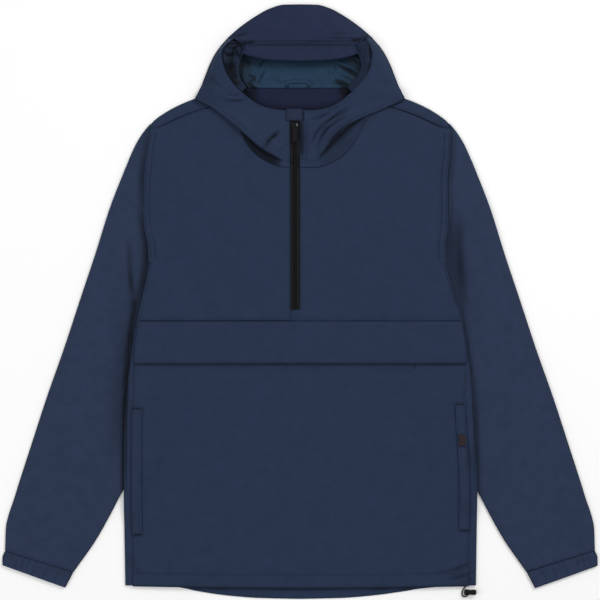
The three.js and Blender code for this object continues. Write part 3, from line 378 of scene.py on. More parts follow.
HOOD_CREASES = creases("""
-126,292 -98,273 -74,250 -56,235 -38,223 | 7 2.4 0
128,294 106,286 88,277 74,266 60,251 42,232 | 7 2.2 0
84,282 56,266 32,242 | 8 2 0
-30,262 -54,240 | 9 1.6 0
-128,350 -134,320 -126,300 | 9 1.6 0
70,285 52,277 35,267 23,252 17,236 | 1.7 -1.5 0.63
66,276 51,267 39,258 31,246 26,231 | 1.6 -1.5 0.57
80,271 64,260 52,248 42,236 33,220 | 2 -1.9 0.83
72,280 53,271.5 37,262 27,248 21,231 | 2.2 2.4 0
74,273 57,264 45,253 36,241 29,225 | 2.4 2.6 0
90,270 72,257 58,244 48,232 | 2.6 2.4 0
58,243 48,232 38,220 | 2 -1.3 0.75
44,262 36,250 31,238 | 1.5 -0.7 0.3
27,222 34,217 46,217 | 2 -0.6 0.45
28,228 38,219 52,222 | 2 1.2 0
20,262 16,246 18,226 | 2.4 1 0
8,277 28,283 50,291 66,298 | 2.2 1.4 0
12,272 26,275 46,284 | 1.8 -1 0.45
6,284 24,288 44,294 | 1.6 -0.8 0.42
-32.5,255 -44,243 -56,227 | 2.8 -1.6 0.63
-48,250 -40,238 -30,228 | 3 1.2 0
-20,248 -30,232 -44,224 | 4 1.2 0
-24,266 -38,256 -60,254 | 4 0.9 0
-136,338 -128,330 -118,320 | 3.4 -1.2 0.24
-110,310 -98,309 -88,311 | 1.6 -0.8 0.36
-113,301 -96,300 -80,302 | 1.6 -0.9 0.42
-114,306 -96,304.5 -82,307 | 2.2 1.2 0
-140,322 -120,312 -106,300 | 5 1 0
110,316 124,322 140,331 | 5 -0.8 0.12
96,306 116,312 136,318 | 7 1 0
120,372 124,350 132,330 | 7 0.9 0
-122,376 -128,360 -134,346 | 5 0.9 0
36,397 62,395.5 84,398 | 1.8 0.9 0
40,393.5 62,392.5 80,394 | 1.4 -0.5 0.24
44,401 64,400 84,402 | 1.8 -0.6 0.24
-90,388 -80,386.5 -68,388 | 2.6 -1.2 0.9
72,391 82,390.5 94,393 | 3.2 -1.2 0.75
-102,398 -92,389 -86,378 | 2.8 1.8 0
-80,402 -92,397 -102,399 | 2.2 -1.2 0.6
-78,396 -90,392 -98,393 | 2.2 1.6 0
-96,404 -84,410 -72,408 | 4 0.9 0.08
98,399 94,388 88,374 | 2.6 1.6 0
101,399 98,392 95,384 | 2.2 -0.9 0.68
-82,388.6 0,389 80,388.8 | 1.3 -0.5 0.51
-80,386 0,386.4 78,386 | 1.6 0.7 0
-148,292 -152,335 -140,384 | 30 0 0.17
132,290 148,300 160,304 | 4 0 0.3
5.4,290 5.6,268 | 1.2 0 0.6
77,292 57,283 42,270 34,259 28.6,248 | 1.5 -0.8 0.4
-34,250 -46,245 -54,233 | 3.4 -0.8 0.4
-60,426 -30,432 10,430 | 20 0.8 0
30,412 60,405 84,404 | 12 0.9 0
-70,408 -50,404 -20,408 | 12 0.8 0
-80,376 -50,371 -10,369 | 4 0.5 0
78,374 50,370 16,369 | 4 0.5 0
-76,368 -56,364 | 2.4 0.5 0.15
""")
LINING_CREASES = creases("""
56,356 74,346 93,334 | 2.7 0 1.1
55,332 66,328 78,319 | 3.2 0 1
66,327 70,316 68,303 | 5 0 0.85
60,322 74,311 | 5 0 0.5
18,334 22,321 | 2 0.5 0.25
29,336 31,323 | 1.8 0.5 0.22
-42,338 -33,330 -24,331 | 2 0.6 0.25
-53,362 -60,355 -62,346 | 2 0.6 0.5
-76,359 -80,350 | 2 0.5 0.4
-67,343 -70,330 | 1.8 0.8 0.5
50,356 56,348 | 1.6 0.6 0.5
77,368 88,362 90,348 | 2 0.8 0.7
-81,360 -88,349 -88,329 -81,312 -70,301 | 2.4 0 0.9
-76,330 -72,319 -64,309 | 5 0 0.5
58,361 76,351 93,341 | 3 4.2 0
54,348 72,338.5 90,328 | 3 3.6 0
82,352 90,344 94,334 | 2.4 0.4 0.6
72,372 84,365 92,357 | 3 3.2 0
76,367 86,360 93,353 | 1.8 0 0.75
52,331 67,329 84,321 | 3 2.4 0
54,330 66,326 82,316 | 3 0 0.9
62,322 74,318 86,322 | 4 1.4 0.6
56,320 66,312 76,310 | 4 0 0.5
48,350 45,340 50,328 | 2.4 1.6 0.15
53,352 50,341 54,330 | 1.8 0.1 0.3
-88,362 -90,340 -86,314 | 2 0.1 0.7
-82,360 -84,340 -80,318 | 3 1.8 0
-54,345 -59,337 -63,327 | 1.9 0 0.85
-49,343 -54,334 -58,325 | 2.6 3 0
-72,334 -76,327 -66,318 | 1.8 0 0.85
-78,341 -68,336 -66,328 | 1.8 0 0.7
-82,326 -70,322 -58,320 | 1.8 0 0.6
-78,330 -80,322 -72,314 | 2.4 2 0.15
-66,330 -69,324 -62,317 | 2.2 1.8 0.1
-80,316 -72,308 -64,306 | 2.6 0.2 0.45
-78,356 -66,350 -60,346 | 3 1.4 0
-30,352 0,349 34,352 | 6 0.9 0.04
-40,336 -20,333 -6,337 | 4 0.8 0.05
24,334 34,330 46,334 | 3 0.9 0.1
80,309 88,320 96,330 | 3 0.2 0.4
-76,295 -40,279 2,275 44,281 76,300 | 12 0 0.5
""")
FACING_CREASES = creases("""
-114,380 -92,370 | 6 2 0
-114,358 -92,348 | 6 -1.6 0
108,380 92,372 | 7 -1.6 0
-110,396 -102,390 -92,394 | 2.4 2.4 0
-114,391 -104,385 -94,387 | 1.8 -1.4 0.7
-116,387 -106,379 -94,381 | 1.6 -1.6 0.8
-117,377 -108,368 -96,371 | 1.6 -1.6 0.8
-100,392 -90,384 -84,374 | 2.2 -1 0.5
-116,382 -106,374 -96,376 | 2.6 3 0
-116,366 -107,358 -97,361 | 2.6 3.2 0
-117,360 -108,350 -98,353 | 1.8 -1.6 0.85
-114,350 -106,344 -98,346 | 2.4 1.8 0.15
-113,343 -104,334 -96,338 | 2.2 -1.4 0.8
-108,334 -98,328 -90,326 | 3 -0.6 0.7
-105,364 -103,346 -98,330 | 6 -0.6 0.7
99,399 106.5,380 107.5,360 100,343 | 2.8 0.2 0.85
-93,401 -103,393 -112,380 | 1.5 1 0.7
-86,386 -93,384 -101,375 -102,361 | 1.5 -1 0.8
-99,380 -90,365 | 1.4 1 0.6
98,386 100,366 98,344 | 3 1.4 0
96,336 88,324 80,319 | 3 0.4 0.2
""")


def crease_line(line, px, py):
    """Distance from places to a line of points, and how far along it the nearest spot is."""
    best = np.full(px.shape, 1e9)
    along = np.zeros(px.shape)
    lengths = np.linalg.norm(np.diff(line, axis=0), axis=1)
    done = 0.0
    for (ax, ay), (bx, by), length in zip(line[:-1], line[1:], lengths):
        t = np.clip(((px - ax) * (bx - ax) + (py - ay) * (by - ay)) / length**2, 0, 1)
        off = np.hypot(px - ax - t * (bx - ax), py - ay - t * (by - ay))
        closer = off < best
        best = np.where(closer, off, best)
        along = np.where(closer, done + t * length, along)
        done += length
    return best, along / done


def crease_sum(rows, x, y, part):
    total = np.zeros(np.shape(x))
    for number, (line, width, *amounts) in enumerate(rows):
        amount = amounts[part]
        if amount == 0:
            continue
        low, high = line.min(0) - 2.6 * width, line.max(0) + 2.6 * width
        near = (x > low[0]) & (x < high[0]) & (y > low[1]) & (y < high[1])
        if not near.any():
            continue
        off, share = crease_line(line, x[near], y[near])
        fade = np.sin(np.pi * np.clip(share * 0.94 + 0.03, 0, 1)) ** 0.6
        uneven = 1 + 0.25 * np.sin(5.1 * share + 1.7 * number) + 0.12 * np.sin(13 * share + number)
        total[near] += amount * fade * uneven * bell(off, width)
    return total


def relief(rows, x, y):
    """Height that a list of creases gives at points of the cloth."""
    return crease_sum(rows, x, y, 0)


def crease_shade(rows, x, y):
    """How much of its light the cloth loses in the creases, from 0 to 0.9."""
    return np.clip(crease_sum(rows, x, y, 1), 0, 0.9)


def front_shade(x, y):
    """The same on the front, with the sunken lines of its topstitching."""
    inside = inside_edge(x, y)
    armhole = smooth((y - SEWN_LOW) / 6) * smooth((SEWN_HIGH - y) / 6)
    line = 0.3 * bell(inside - 10.5, 1.3) + 0.22 * bell(inside - 3, 1.3)
    chest_stitch = 0.14 * bell(y - YOKE_SEAM_Y - 5.5, 1.3)
    return np.clip(crease_shade(FRONT_CREASES, x, y) + armhole * line + chest_stitch, 0, 0.9)


def front_relief(x, y):
    """Creases and small puckers of all that lies on the front; no deeper than the air below it."""
    inside = inside_edge(x, y)
    armhole = bell(inside - 6, 5) * smooth((y - 50) / 20) * smooth((262 - y) / 20)
    pucker = 0.22 * armhole * np.sin(y * 0.52 + 1.3 * np.sin(y * 0.11))
    pucker = pucker + 0.45 * smooth((10.5 - inside) / 2) * smooth((y - 60) / 6) * smooth((SEWN_HIGH - y) / 6)
    pucker = pucker + 0.16 * bell(y + 409, 5) * np.sin(x * 0.6 + 2 * np.sin(x * 0.05))
    return np.maximum(relief(FRONT_CREASES, x, y) + pucker, -0.7 * air_below(x, y))


# Meshes


def new_object(name, points, faces, material):
    mesh = bpy.data.meshes.new(name)
    mesh.from_pydata([tuple(p) for p in points], [], faces)
    mesh.validate()
    mesh.polygons.foreach_set("use_smooth", [True] * len(mesh.polygons))
    mesh.materials.append(material)
    piece = bpy.data.objects.new(name, mesh)
    scene.collection.objects.link(piece)
    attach(piece, "garment")
    return piece


def stands_for(piece, node):
    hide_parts(node)
    return piece


def grid_normals(middle, ring):
    if ring:
        across = np.roll(middle, -1, axis=1) - np.roll(middle, 1, axis=1)
    else:
        across = np.gradient(middle, axis=1)
    along = np.gradient(middle, axis=0)
    normal = np.cross(across, along)
    size = np.linalg.norm(normal, axis=2, keepdims=True)
    return normal / np.maximum(size, 1e-9)


def cloth_wall(node, middle, wall, material, keep=None, ring=False, flip=False, shade=None,
               most=0.9, kind="cloth"):
    """Closed cloth wall on a grid of middle points in millimetres, with rounded edges. It replaces a
    node. shade is the light lost at each point, up to most; keep says which faces are made."""
    rows, width = middle.shape[:2]
    columns = width if ring else width - 1
    normal = grid_normals(middle, ring) * (-1 if flip else 1)
    wall = np.broadcast_to(np.asarray(wall, float), (rows, width))[..., None]
    keep = np.ones((rows - 1, columns), bool) if keep is None else keep
    top = middle + normal * wall / 2
    bottom = middle - normal * wall / 2
    index = np.arange(rows * width).reshape(rows, width)
    right = np.roll(index, -1, axis=1)
    a, b = index[:-1, :columns][keep], right[:-1, :columns][keep]
    d, c = index[1:, :columns][keep], right[1:, :columns][keep]
    quads = np.stack([a, b, c, d], axis=1)
    edges = dict.fromkeys((quad[k], quad[(k + 1) % 4]) for quad in quads.tolist() for k in range(4))
    rim = [(p, q) for p, q in edges if (q, p) not in edges]
    rim_points = sorted({p for edge in rim for p in edge})
    place = {p: k for k, p in enumerate(rim_points)}
    flat_top, flat_bottom = top.reshape(-1, 3), bottom.reshape(-1, 3)
    flat_middle, flat_normal = middle.reshape(-1, 3), normal.reshape(-1, 3)
    count = rows * width
    middle_rim = (flat_top[rim_points] + flat_bottom[rim_points]) / 2
    # The two faces draw in a little at the edge, and the middle keeps the outline.
    inward = np.zeros((len(rim_points), 3))
    for p, q in rim:
        out = np.cross(flat_middle[q] - flat_middle[p], flat_normal[p])
        size = np.linalg.norm(out)
        if size > 1e-9:
            inward[place[p]] -= out / size
            inward[place[q]] -= out / size
    size = np.linalg.norm(inward, axis=1, keepdims=True)
    inward /= np.maximum(size, 1e-9)
    half = wall.reshape(-1, 1)[rim_points] / 2
    flat_top[rim_points] += inward * half * 0.7
    flat_bottom[rim_points] += inward * half * 0.7
    points = np.concatenate([flat_top, flat_bottom, middle_rim]) * MM
    faces = quads.tolist() + (quads[:, ::-1] + count).tolist()
    for p, q in rim:
        mp, mq = 2 * count + place[p], 2 * count + place[q]
        faces.append([q, p, mp, mq])
        faces.append([mq, mp, p + count, q + count])
    if flip:
        faces = [face[::-1] for face in faces]
    used = sorted({p for face in faces for p in face})
    renumber = {p: k for k, p in enumerate(used)}
    faces = [[renumber[p] for p in face] for face in faces]
    piece = new_object(f"{node}_{kind}", points[used], faces, material)
    if shade is not None:
        # The light lost is kept on the points as painted shade, by which the cloth material darkens its
        # colour.
        flat = np.clip(shade, 0, most).reshape(-1)
        value = np.concatenate([flat, flat, flat[rim_points]])[used]
        piece.data.attributes.new("painted_shade", "FLOAT", "POINT").data.foreach_set("value", value)
    return stands_for(piece, node)


# Materials


def feed(tree, shader_node, inputs):
    """Gives each named input its value, or a link from another node's output."""
    for key, value in dict(inputs).items():
        if isinstance(value, bpy.types.NodeSocket):
            tree.links.new(value, shader_node.inputs[key])
        else:
            shader_node.inputs[key].default_value = value


def add_node(tree, kind, inputs=(), **settings):
    made = tree.nodes.new(f"ShaderNode{kind}")
    for key, value in settings.items():
        setattr(made, key, value)
    feed(tree, made, inputs)
    return made


def new_material(name):
    material = bpy.data.materials.new(name)
    material.use_nodes = True
    tree = material.node_tree
    tree.nodes.clear()
    shader = add_node(tree, "BsdfPrincipled")
    add_node(tree, "OutputMaterial", {"Surface": shader.outputs["BSDF"]})
    return material, tree, shader


def noise(tree, place, scale, detail, **more):
    inputs = {"Vector": place, "Scale": scale, "Detail": detail, **more}
    return add_node(tree, "TexNoise", inputs).outputs["Fac"]


def calculate(tree, operation, *values):
    return add_node(tree, "Math", enumerate(values), operation=operation).outputs[0]


def spread(tree, share, low, high):
    return add_node(tree, "MapRange", {"Value": share, "To Min": low, "To Max": high}).outputs["Result"]


def mix_colours(tree, share, a, b, blend="MIX"):
    inputs = {"Factor": share, "A": a, "B": b}
    return add_node(tree, "Mix", inputs, data_type="RGBA", blend_type=blend).outputs["Result"]


def ramp(tree, share, colours, ends=(0, 1)):
    made = add_node(tree, "ValToRGB", {"Fac": share})
    for element, colour, end in zip(made.color_ramp.elements, colours, ends):
        element.color = (*np.clip(colour, 0, 1), 1)
        element.position = end
    return made.outputs["Color"]


def bump(tree, height, strength, distance, **more):
    inputs = {"Height": height, "Strength": strength, "Distance": distance, **more}
    return add_node(tree, "Bump", inputs).outputs["Normal"]


def linear(rgb):
    """Linear colour from 0 to 255 display values."""
    c = np.array(rgb, float) / 255
    return np.where(c <= 0.04045, c / 12.92, ((c + 0.055) / 1.055) ** 2.4)


def cloth_material(name, rgb, roughness=0.66, sheen=0.04, thread=0.42, crumple=0.25):
    """Plain-woven cloth: fine threads both ways, soft crumpling and slightly uneven colour. thread is
    the thread's width in millimetres."""
    material, tree, shader = new_material(name)
    place = add_node(tree, "TexCoord").outputs["Object"]
    wave = {"Vector": place, "Scale": 314.16 / thread / 10, "Distortion": 0.6, "Detail": 1}
    across, along = (add_node(tree, "TexWave", wave, bands_direction=way).outputs["Fac"] for way in "XY")
    patches = noise(tree, place, 60, 6, Roughness=0.68)
    grain = noise(tree, place, 420, 2)
    crossings = calculate(tree, "MULTIPLY", across, along)
    woven = calculate(tree, "MULTIPLY", calculate(tree, "MULTIPLY_ADD", crossings, 0.3, grain), 0.75)
    base = linear(rgb)
    warmth = np.array([1, -0.6, 0.2])
    tints = (base * 0.9 * (1 - 0.03 * warmth), base * 1.1 * (1 + 0.04 * warmth))
    colour = ramp(tree, patches, tints, (0.3, 0.7))
    colour = mix_colours(tree, 0.5, colour, spread(tree, woven, 0.72, 1.18), "MULTIPLY")
    # Painted shade: where a piece stores light lost in creases, hollows, fold turns and under edges, the
    # colour is darkened nearly to black.
    painted_shade = add_node(tree, "Attribute", attribute_name="painted_shade").outputs["Fac"]
    crumples = noise(tree, place, 34, 5, Roughness=0.55, Distortion=0.8)
    threads = bump(tree, woven, 0.35, 0.00012)
    feed(tree, shader, {
        "Base Color": mix_colours(tree, painted_shade, colour, (*base * 0.06, 1)),
        "Roughness": spread(tree, patches, roughness - 0.07, roughness + 0.07),
        "Normal": bump(tree, crumples, crumple, 0.0022, Normal=threads),
        "Sheen Weight": sheen,
        "Sheen Roughness": 0.5,
        "Sheen Tint": (0.62, 0.7, 0.9, 1),
        "Specular IOR Level": 0.09,
    })
    return material


def hard_material(name, rgb, roughness, metallic=0.0, shine=0.3, painted_glint=None):
    """Moulded plastic or enamelled metal with a fine uneven surface; the place given last gets a painted
    highlight, a bright glint painted into the colour.
    """
    material, tree, shader = new_material(name)
    place = add_node(tree, "TexCoord").outputs["Object"]
    grain = noise(tree, place, 900, 3)
    base = linear(rgb)
    colour = ramp(tree, grain, (base * 0.75, base * 1.35))
    if painted_glint is not None:
        # The painted highlight is longer than wide, so y counts less.
        flat = add_node(tree, "VectorMath", {0: place, 1: (1, 0.45, 0)}, operation="MULTIPLY")
        spot = {0: flat.outputs["Vector"], 1: (painted_glint[0] * MM, 0.45 * painted_glint[1] * MM, 0)}
        off = add_node(tree, "VectorMath", spot, operation="DISTANCE").outputs["Value"]
        inputs = {"Value": off, "From Min": 0.0013, "From Max": 0.0003}
        share = add_node(tree, "MapRange", inputs).outputs["Result"]
        # Painted highlight: a light grey glint mixed into the dark colour.
        colour = mix_colours(tree, share, colour, (*linear((150, 142, 142)), 1))
    feed(tree, shader, {
        "Base Color": colour,
        "Roughness": spread(tree, grain, roughness - 0.08, roughness + 0.1),
        "Normal": bump(tree, grain, 0.4, 0.00004),
        "Metallic": metallic,
        "Specular IOR Level": shine,
    })
    return material


SHELL = cloth_material("shell", (36, 49, 73))
SLEEVES = cloth_material("sleeve_cloth", (40, 52, 76))
HOOD_SHELL = cloth_material("hood_cloth", (32, 41, 66))
LINING_CLOTH = cloth_material("lining_cloth", (33, 57, 79), roughness=0.5, sheen=0.06, crumple=0.7)
FACING_CLOTH = cloth_material("facing_cloth", (25, 31, 57), roughness=0.6)
TAB_CLOTH = cloth_material("garage_cloth", (35, 43, 65), roughness=0.6)
TAPE = cloth_material("tape", (28, 29, 31), roughness=0.85, sheen=0.01, thread=0.7, crumple=0.05)
TAB = cloth_material("tab_cloth", (46, 38, 42), roughness=0.7, thread=0.6, crumple=0.05)
THREAD = cloth_material("thread", (25, 31, 50), roughness=0.55, thread=0.2, crumple=0.0)
DARK_THREAD = cloth_material("dark_thread", (20, 23, 35), roughness=0.6, thread=0.2, crumple=0.0)
PLASTIC = hard_material("black_plastic", (16, 16, 20), 0.6, shine=0.12)
# The slider's enamel carries a painted highlight near its right edge.
ENAMEL = hard_material("black_enamel", (34, 34, 38), 0.2, metallic=0.85, painted_glint=(-4.3, 264.6))


# Body


def grid(*axes):
    return np.meshgrid(*axes, indexing="ij")


def stack(x, y, z):
    return np.stack(np.broadcast_arrays(x, y, z), axis=-1).astype(float)


def make_back():
    """Back panel, wrapped to the front at the sides and over the shoulders."""
    flats = np.linspace(0.03, 0.96, 34)
    folds = np.linspace(0, 1, TURN_POINTS)
    laps = np.linspace(0, 1, 6)[1:]
    half = [("lap", at) for at in laps[::-1]] + [("fold", at) for at in folds[::-1]]
    half += [("flat", at) for at in flats[::-1]]
    layout = [(-1, *place) for place in half] + [(1, *place) for place in half[::-1]]
    low = UNDERARM - 4
    heights = np.concatenate([
        np.linspace(HEM_Y, low, 97), np.linspace(low, YOKE_END, 42)[1:], [ARMHOLE_TOP],
        np.linspace(ARMHOLE_TOP, SHOULDER_TOP, 14)[1:],
    ])
    columns, shades = [], []
    for side, kind, at in layout:
        y = heights
        edge = body_half(side, y) - SEAM / 2
        bottom = back_z(side * edge, y)
        top = front_z(side * edge, y)
        radius = (top - bottom) / 2
        centre = edge - radius - CLOTH / 2
        if kind == "fold":
            angle = (at - 0.5) * math.pi
            x = side * (centre + radius * math.cos(angle))
            z = (bottom + top) / 2 + radius * math.sin(angle)
            if at == 0:
                armhole = (y > UNDERARM) & (y < ARMHOLE_TOP)
                x = np.where(armhole, side * edge, x)
                z = np.where(armhole, bottom, z)
            z = z + front_relief(x, y) * at**2
        elif kind == "lap":
            shoulder = np.maximum(112.3, shoulder_x(y)) + SEAM
            inner = np.where(y > YOKE_END - 1, shoulder, edge - side_inset(y))
            x = side * mix(centre, np.minimum(inner, centre - 0.4), at)
            z = front_z(x, y) + front_relief(x, y)
        else:
            x = side * centre * at
            z = back_z(x, y)
            # On its right the tail stays a little lower.
            drop = (back_hem_y(np.abs(x)) - HEM_Y - 1.8 * bell(x - 190, 34)) * tail_share(y)
            rise = (BACK_NECK_Y - SHOULDER_TOP) * smooth((108 - np.abs(x)) / 25) * smooth((y - 286) / 29)
            y = y + drop + rise
            shades.append(0.85 * smooth((-425 - y) / 2) * smooth((y + 432) / 4))
        if kind != "flat":
            turned = 0.6 * math.sin(math.pi * at) if kind == "fold" else 0
            shades.append(crease_shade(FRONT_CREASES, x, y) + turned)
        columns.append(stack(x, y, z))
    keep = np.ones((len(heights) - 1, len(layout) - 1), bool)
    in_reach = (heights[:-1] < low - 0.01) | (heights[:-1] >= YOKE_END - 0.01)
    for i in range(len(layout) - 1):
        if "flat" not in (layout[i][1], layout[i + 1][1]):
            keep[:, i] = in_reach
    middle = np.stack(columns, axis=1)
    return cloth_wall("back", middle, CLOTH, SHELL, keep, shade=np.stack(shades, axis=1))


def make_chest(side):
    slit = SLIT[side]
    reach = 226.5
    shares = np.concatenate([
        np.linspace(0, 0.12, 10)[:-1], np.linspace(0.12, 0.94, 96), np.linspace(0.94, 1, 8)[1:],
    ])
    below_slit = np.linspace(YOKE_SEAM_Y + SEAM / 2, SLIT_BOTTOM - 0.8, 6)
    up = np.linspace(0, 1, 110)
    top = front_top_y(mix(abs(slit), reach, shares)) - 0.25
    y = np.concatenate([
        np.repeat(below_slit[:, None], len(shares), 1), mix(SLIT_BOTTOM, top[None, :], up[:, None]),
    ])
    at_seam = np.arange(len(y)) < len(below_slit)
    inner = np.where(at_seam, side * CENTRE_SEAM_X, slit)[:, None] + SEAM / 2
    edge = body_edge[side](y) - np.where(y < UNDERARM, side_inset(y), 0) - SEAM
    edge = np.where(y > 250, np.minimum(edge, reach), edge)
    x = side * mix(inner, edge, shares[None, :])
    middle = stack(x, y, front_z(x, y) + front_relief(x, y))
    return cloth_wall(f"chest_{SIDES[side]}", middle, CLOTH, SHELL, flip=side < 0,
                      shade=front_shade(x, y))


def lower_point(share, y):
    edge = np.where(share < 0, body_edge[-1](y), body_edge[1](y)) - side_inset(y) - SEAM
    x = share * edge
    drop = (front_hem_y(np.abs(x)) - LOWER_EDGE_Y) * tail_share(y)
    casing = smooth((CASING_Y - y) / 1.6) * (CASING_WALL - CLOTH) / 2
    return stack(x, y + drop, front_z(x, y) + casing + front_relief(x, y + drop))


def make_lower_front():
    heights = np.concatenate([
        np.linspace(YOKE_SEAM_Y - SEAM / 2, -406, 112), np.linspace(-407.4, -409.8, 4),
        np.linspace(-411, LOWER_EDGE_Y, 8),
    ])
    y, share = grid(heights, np.linspace(-1, 1, 165))
    middle = lower_point(share, y)
    shade = front_shade(middle[..., 0], middle[..., 1]) + 0.4 * bell(y - YOKE_SEAM_Y + FLAP_DEPTH + 1.5, 2.2)
    shade += 0.16 * bell(y - CASING_Y, 1.8) + 0.45 * smooth((-423.6 - y) / 2)
    wall = np.where(y < CASING_Y, CASING_WALL, CLOTH)
    return cloth_wall("front_lower", middle, wall, SHELL, flip=True, shade=shade)


def patch(node, material, shares, heights, wall, above):
    """A sheet on the lower front, made from its points moved out."""
    y, share = grid(heights, shares)
    middle = lower_point(share, y)
    middle[..., 2] += CLOTH / 2 + SEAM + above + wall / 2
    shade = front_shade(middle[..., 0], middle[..., 1])
    return cloth_wall(node, middle, wall, material, flip=True, shade=shade)


def make_pocket_flap():
    heights = np.linspace(YOKE_SEAM_Y - SEAM, YOKE_SEAM_Y - FLAP_DEPTH, 22)
    return patch("pocket_flap", SHELL, np.linspace(-1, 1, 165), heights, FLAP_WALL, 0)


def make_welt(side):
    shares = side * np.linspace(1 - 15 / 252, 1, 9)[::side]
    heights = np.linspace(*WELT_ENDS[side], 66)
    return patch(f"welt_{SIDES[side]}", SHELL, shares, heights, CLOTH, 0.15)


def tube_ring(outer, inner, bow, rise, wall):
    """Section of a flattened tube: outer fold, front layer, inner fold, back layer."""
    radius = (wall + EDGE_GAP) / 2
    run = inner - outer
    length = np.linalg.norm(run, axis=1, keepdims=True)
    run = run / length
    inset = radius + wall / 2
    angles = np.radians(np.linspace(-90, 90, TURN_POINTS))
    stops = np.linspace(0, 1, TUBE_POINTS + 2)[1:-1]
    places, heights, layer = [], [], []
    for angle in angles:
        places.append(np.full(length.shape, inset - radius * math.cos(angle)))
        heights.append(wall / 2 + radius + radius * math.sin(angle))
        layer.append(max(0.0, math.sin(angle)))
    for t in stops:
        places.append(mix(inset, length - inset, t))
        heights.append(wall / 2 + 2 * radius + rise * math.sin(math.pi * t) ** 0.7)
        layer.append(1.0)
    for angle in angles[::-1]:
        places.append(length - inset + radius * math.cos(angle))
        heights.append(wall / 2 + radius + radius * math.sin(angle))
        layer.append(max(0.0, math.sin(angle)))
    for t in stops[::-2]:
        places.append(mix(inset, length - inset, t))
        heights.append(wall / 2)
        layer.append(0.0)
    along = np.concatenate(places, axis=1)
    spot = outer[:, None, :] + run[:, None, :] * along[..., None]
    spot[..., 0] += bow(np.clip(along / length, 0, 1))
    height = np.stack(np.broadcast_arrays(*[np.broadcast_to(h, (len(outer),)) for h in heights]), axis=1)
    return spot, height, np.array(layer)


# Light lost where cloth turns round a fold, over the points of the turn
FOLD_SHADE = 0.8 * np.cos(np.radians(np.linspace(-90, 90, TURN_POINTS))) ** 0.6


def shade_turns(shade):
    """Adds the shade of a tube's two folds."""
    for start in (0, TURN_POINTS + TUBE_POINTS):
        shade[:, start:start + TURN_POINTS] += FOLD_SHADE
    return shade


def make_sleeve(side):
    share = np.linspace(0, 1, 151)
    count = len(SLEEVE["outer_y"])
    row = share * (count - 1)
    outer_y, inner_x, inner_y = (
        curve(np.arange(count), SLEEVE[name])(row) for name in ("outer_y", "inner_x", "inner_y"))
    wider = body_edge[side](UNDERARM) - body_edge[-1](UNDERARM)
    outer = np.stack([np.maximum(outline_x(outer_y), 223), outer_y], axis=1)
    inner = np.stack([inner_x + wider * smooth(1 - row / 4), inner_y], axis=1)
    hold = ((1 - row / 5) ** 2 * (row < 5))[:, None]
    swell = (32 * smooth(row / 1.5) * smooth((8 - row) / 5))[:, None]

    def bow(t):
        straight = mix(223, 227.4 + wider, t)
        edge = body_edge[side](mix(ARMHOLE_TOP, UNDERARM + 1, t)) + 0.05
        return (edge - straight) * hold + swell * np.sin(np.pi * t)

    rise = SLEEVE_RISE * np.minimum(1, (15 * (1 - share) + 1) / 3)
    spot, height, layer = tube_ring(outer, inner, bow, rise, CLOTH)
    x, y = side * spot[..., 0], spot[..., 1]
    height = height + np.maximum(relief(SLEEVE_CREASES, x, y), -0.6) * layer[None, :]
    shade = shade_turns(crease_shade(SLEEVE_CREASES, x, y) * layer[None, :])
    return cloth_wall(f"sleeve_{SIDES[side]}", stack(x, y, height), CLOTH, SLEEVES,
                      ring=True, flip=side > 0, shade=shade)


def make_cuff(side):
    t = np.linspace(0, 2, 15)
    at = {key: curve([0, 1, 2], CUFF[key])(t) for key in CUFF}
    outer = np.stack([at["outer_x"], at["outer_y"]], axis=1)
    inner = np.stack([at["inner_x"], at["inner_y"]], axis=1)
    spot, height, layer = tube_ring(outer, inner, lambda u: 0 * u, 0.4, CUFF_WALL)
    run = np.linspace(0, 1, spot.shape[1])
    swell = np.sin(np.pi * t / 2)[:, None] ** 0.5
    gather = 0.35 * np.sin(run * 210) + 0.25 * np.sin(run * 331 + 1)
    height = height + gather[None, :] * layer[None, :] * swell
    # The gathered edge tucks up to the end of the sleeve.
    spot[0] += (spot[0] - spot[1]) * 0.45
    pleats = 0.22 * np.clip(np.sin(run * 130) + 0.7 * np.sin(run * 71 + 1), 0, 1)
    shade = layer[None, :] * (pleats[None, :] * swell * 0.8 + 0.12 * smooth(1 - t * 2.4)[:, None])
    middle = stack(side * spot[..., 0], spot[..., 1], height)
    return cloth_wall(f"cuff_{SIDES[side]}", middle, CUFF_WALL, SLEEVES, ring=True,
                      flip=side > 0, shade=shade_turns(shade))


# Hood


def crown_rim_z(x):
    return mix(BRIM_HEIGHT, RIM_HEIGHT, smooth((np.abs(x) - 60) / 36))


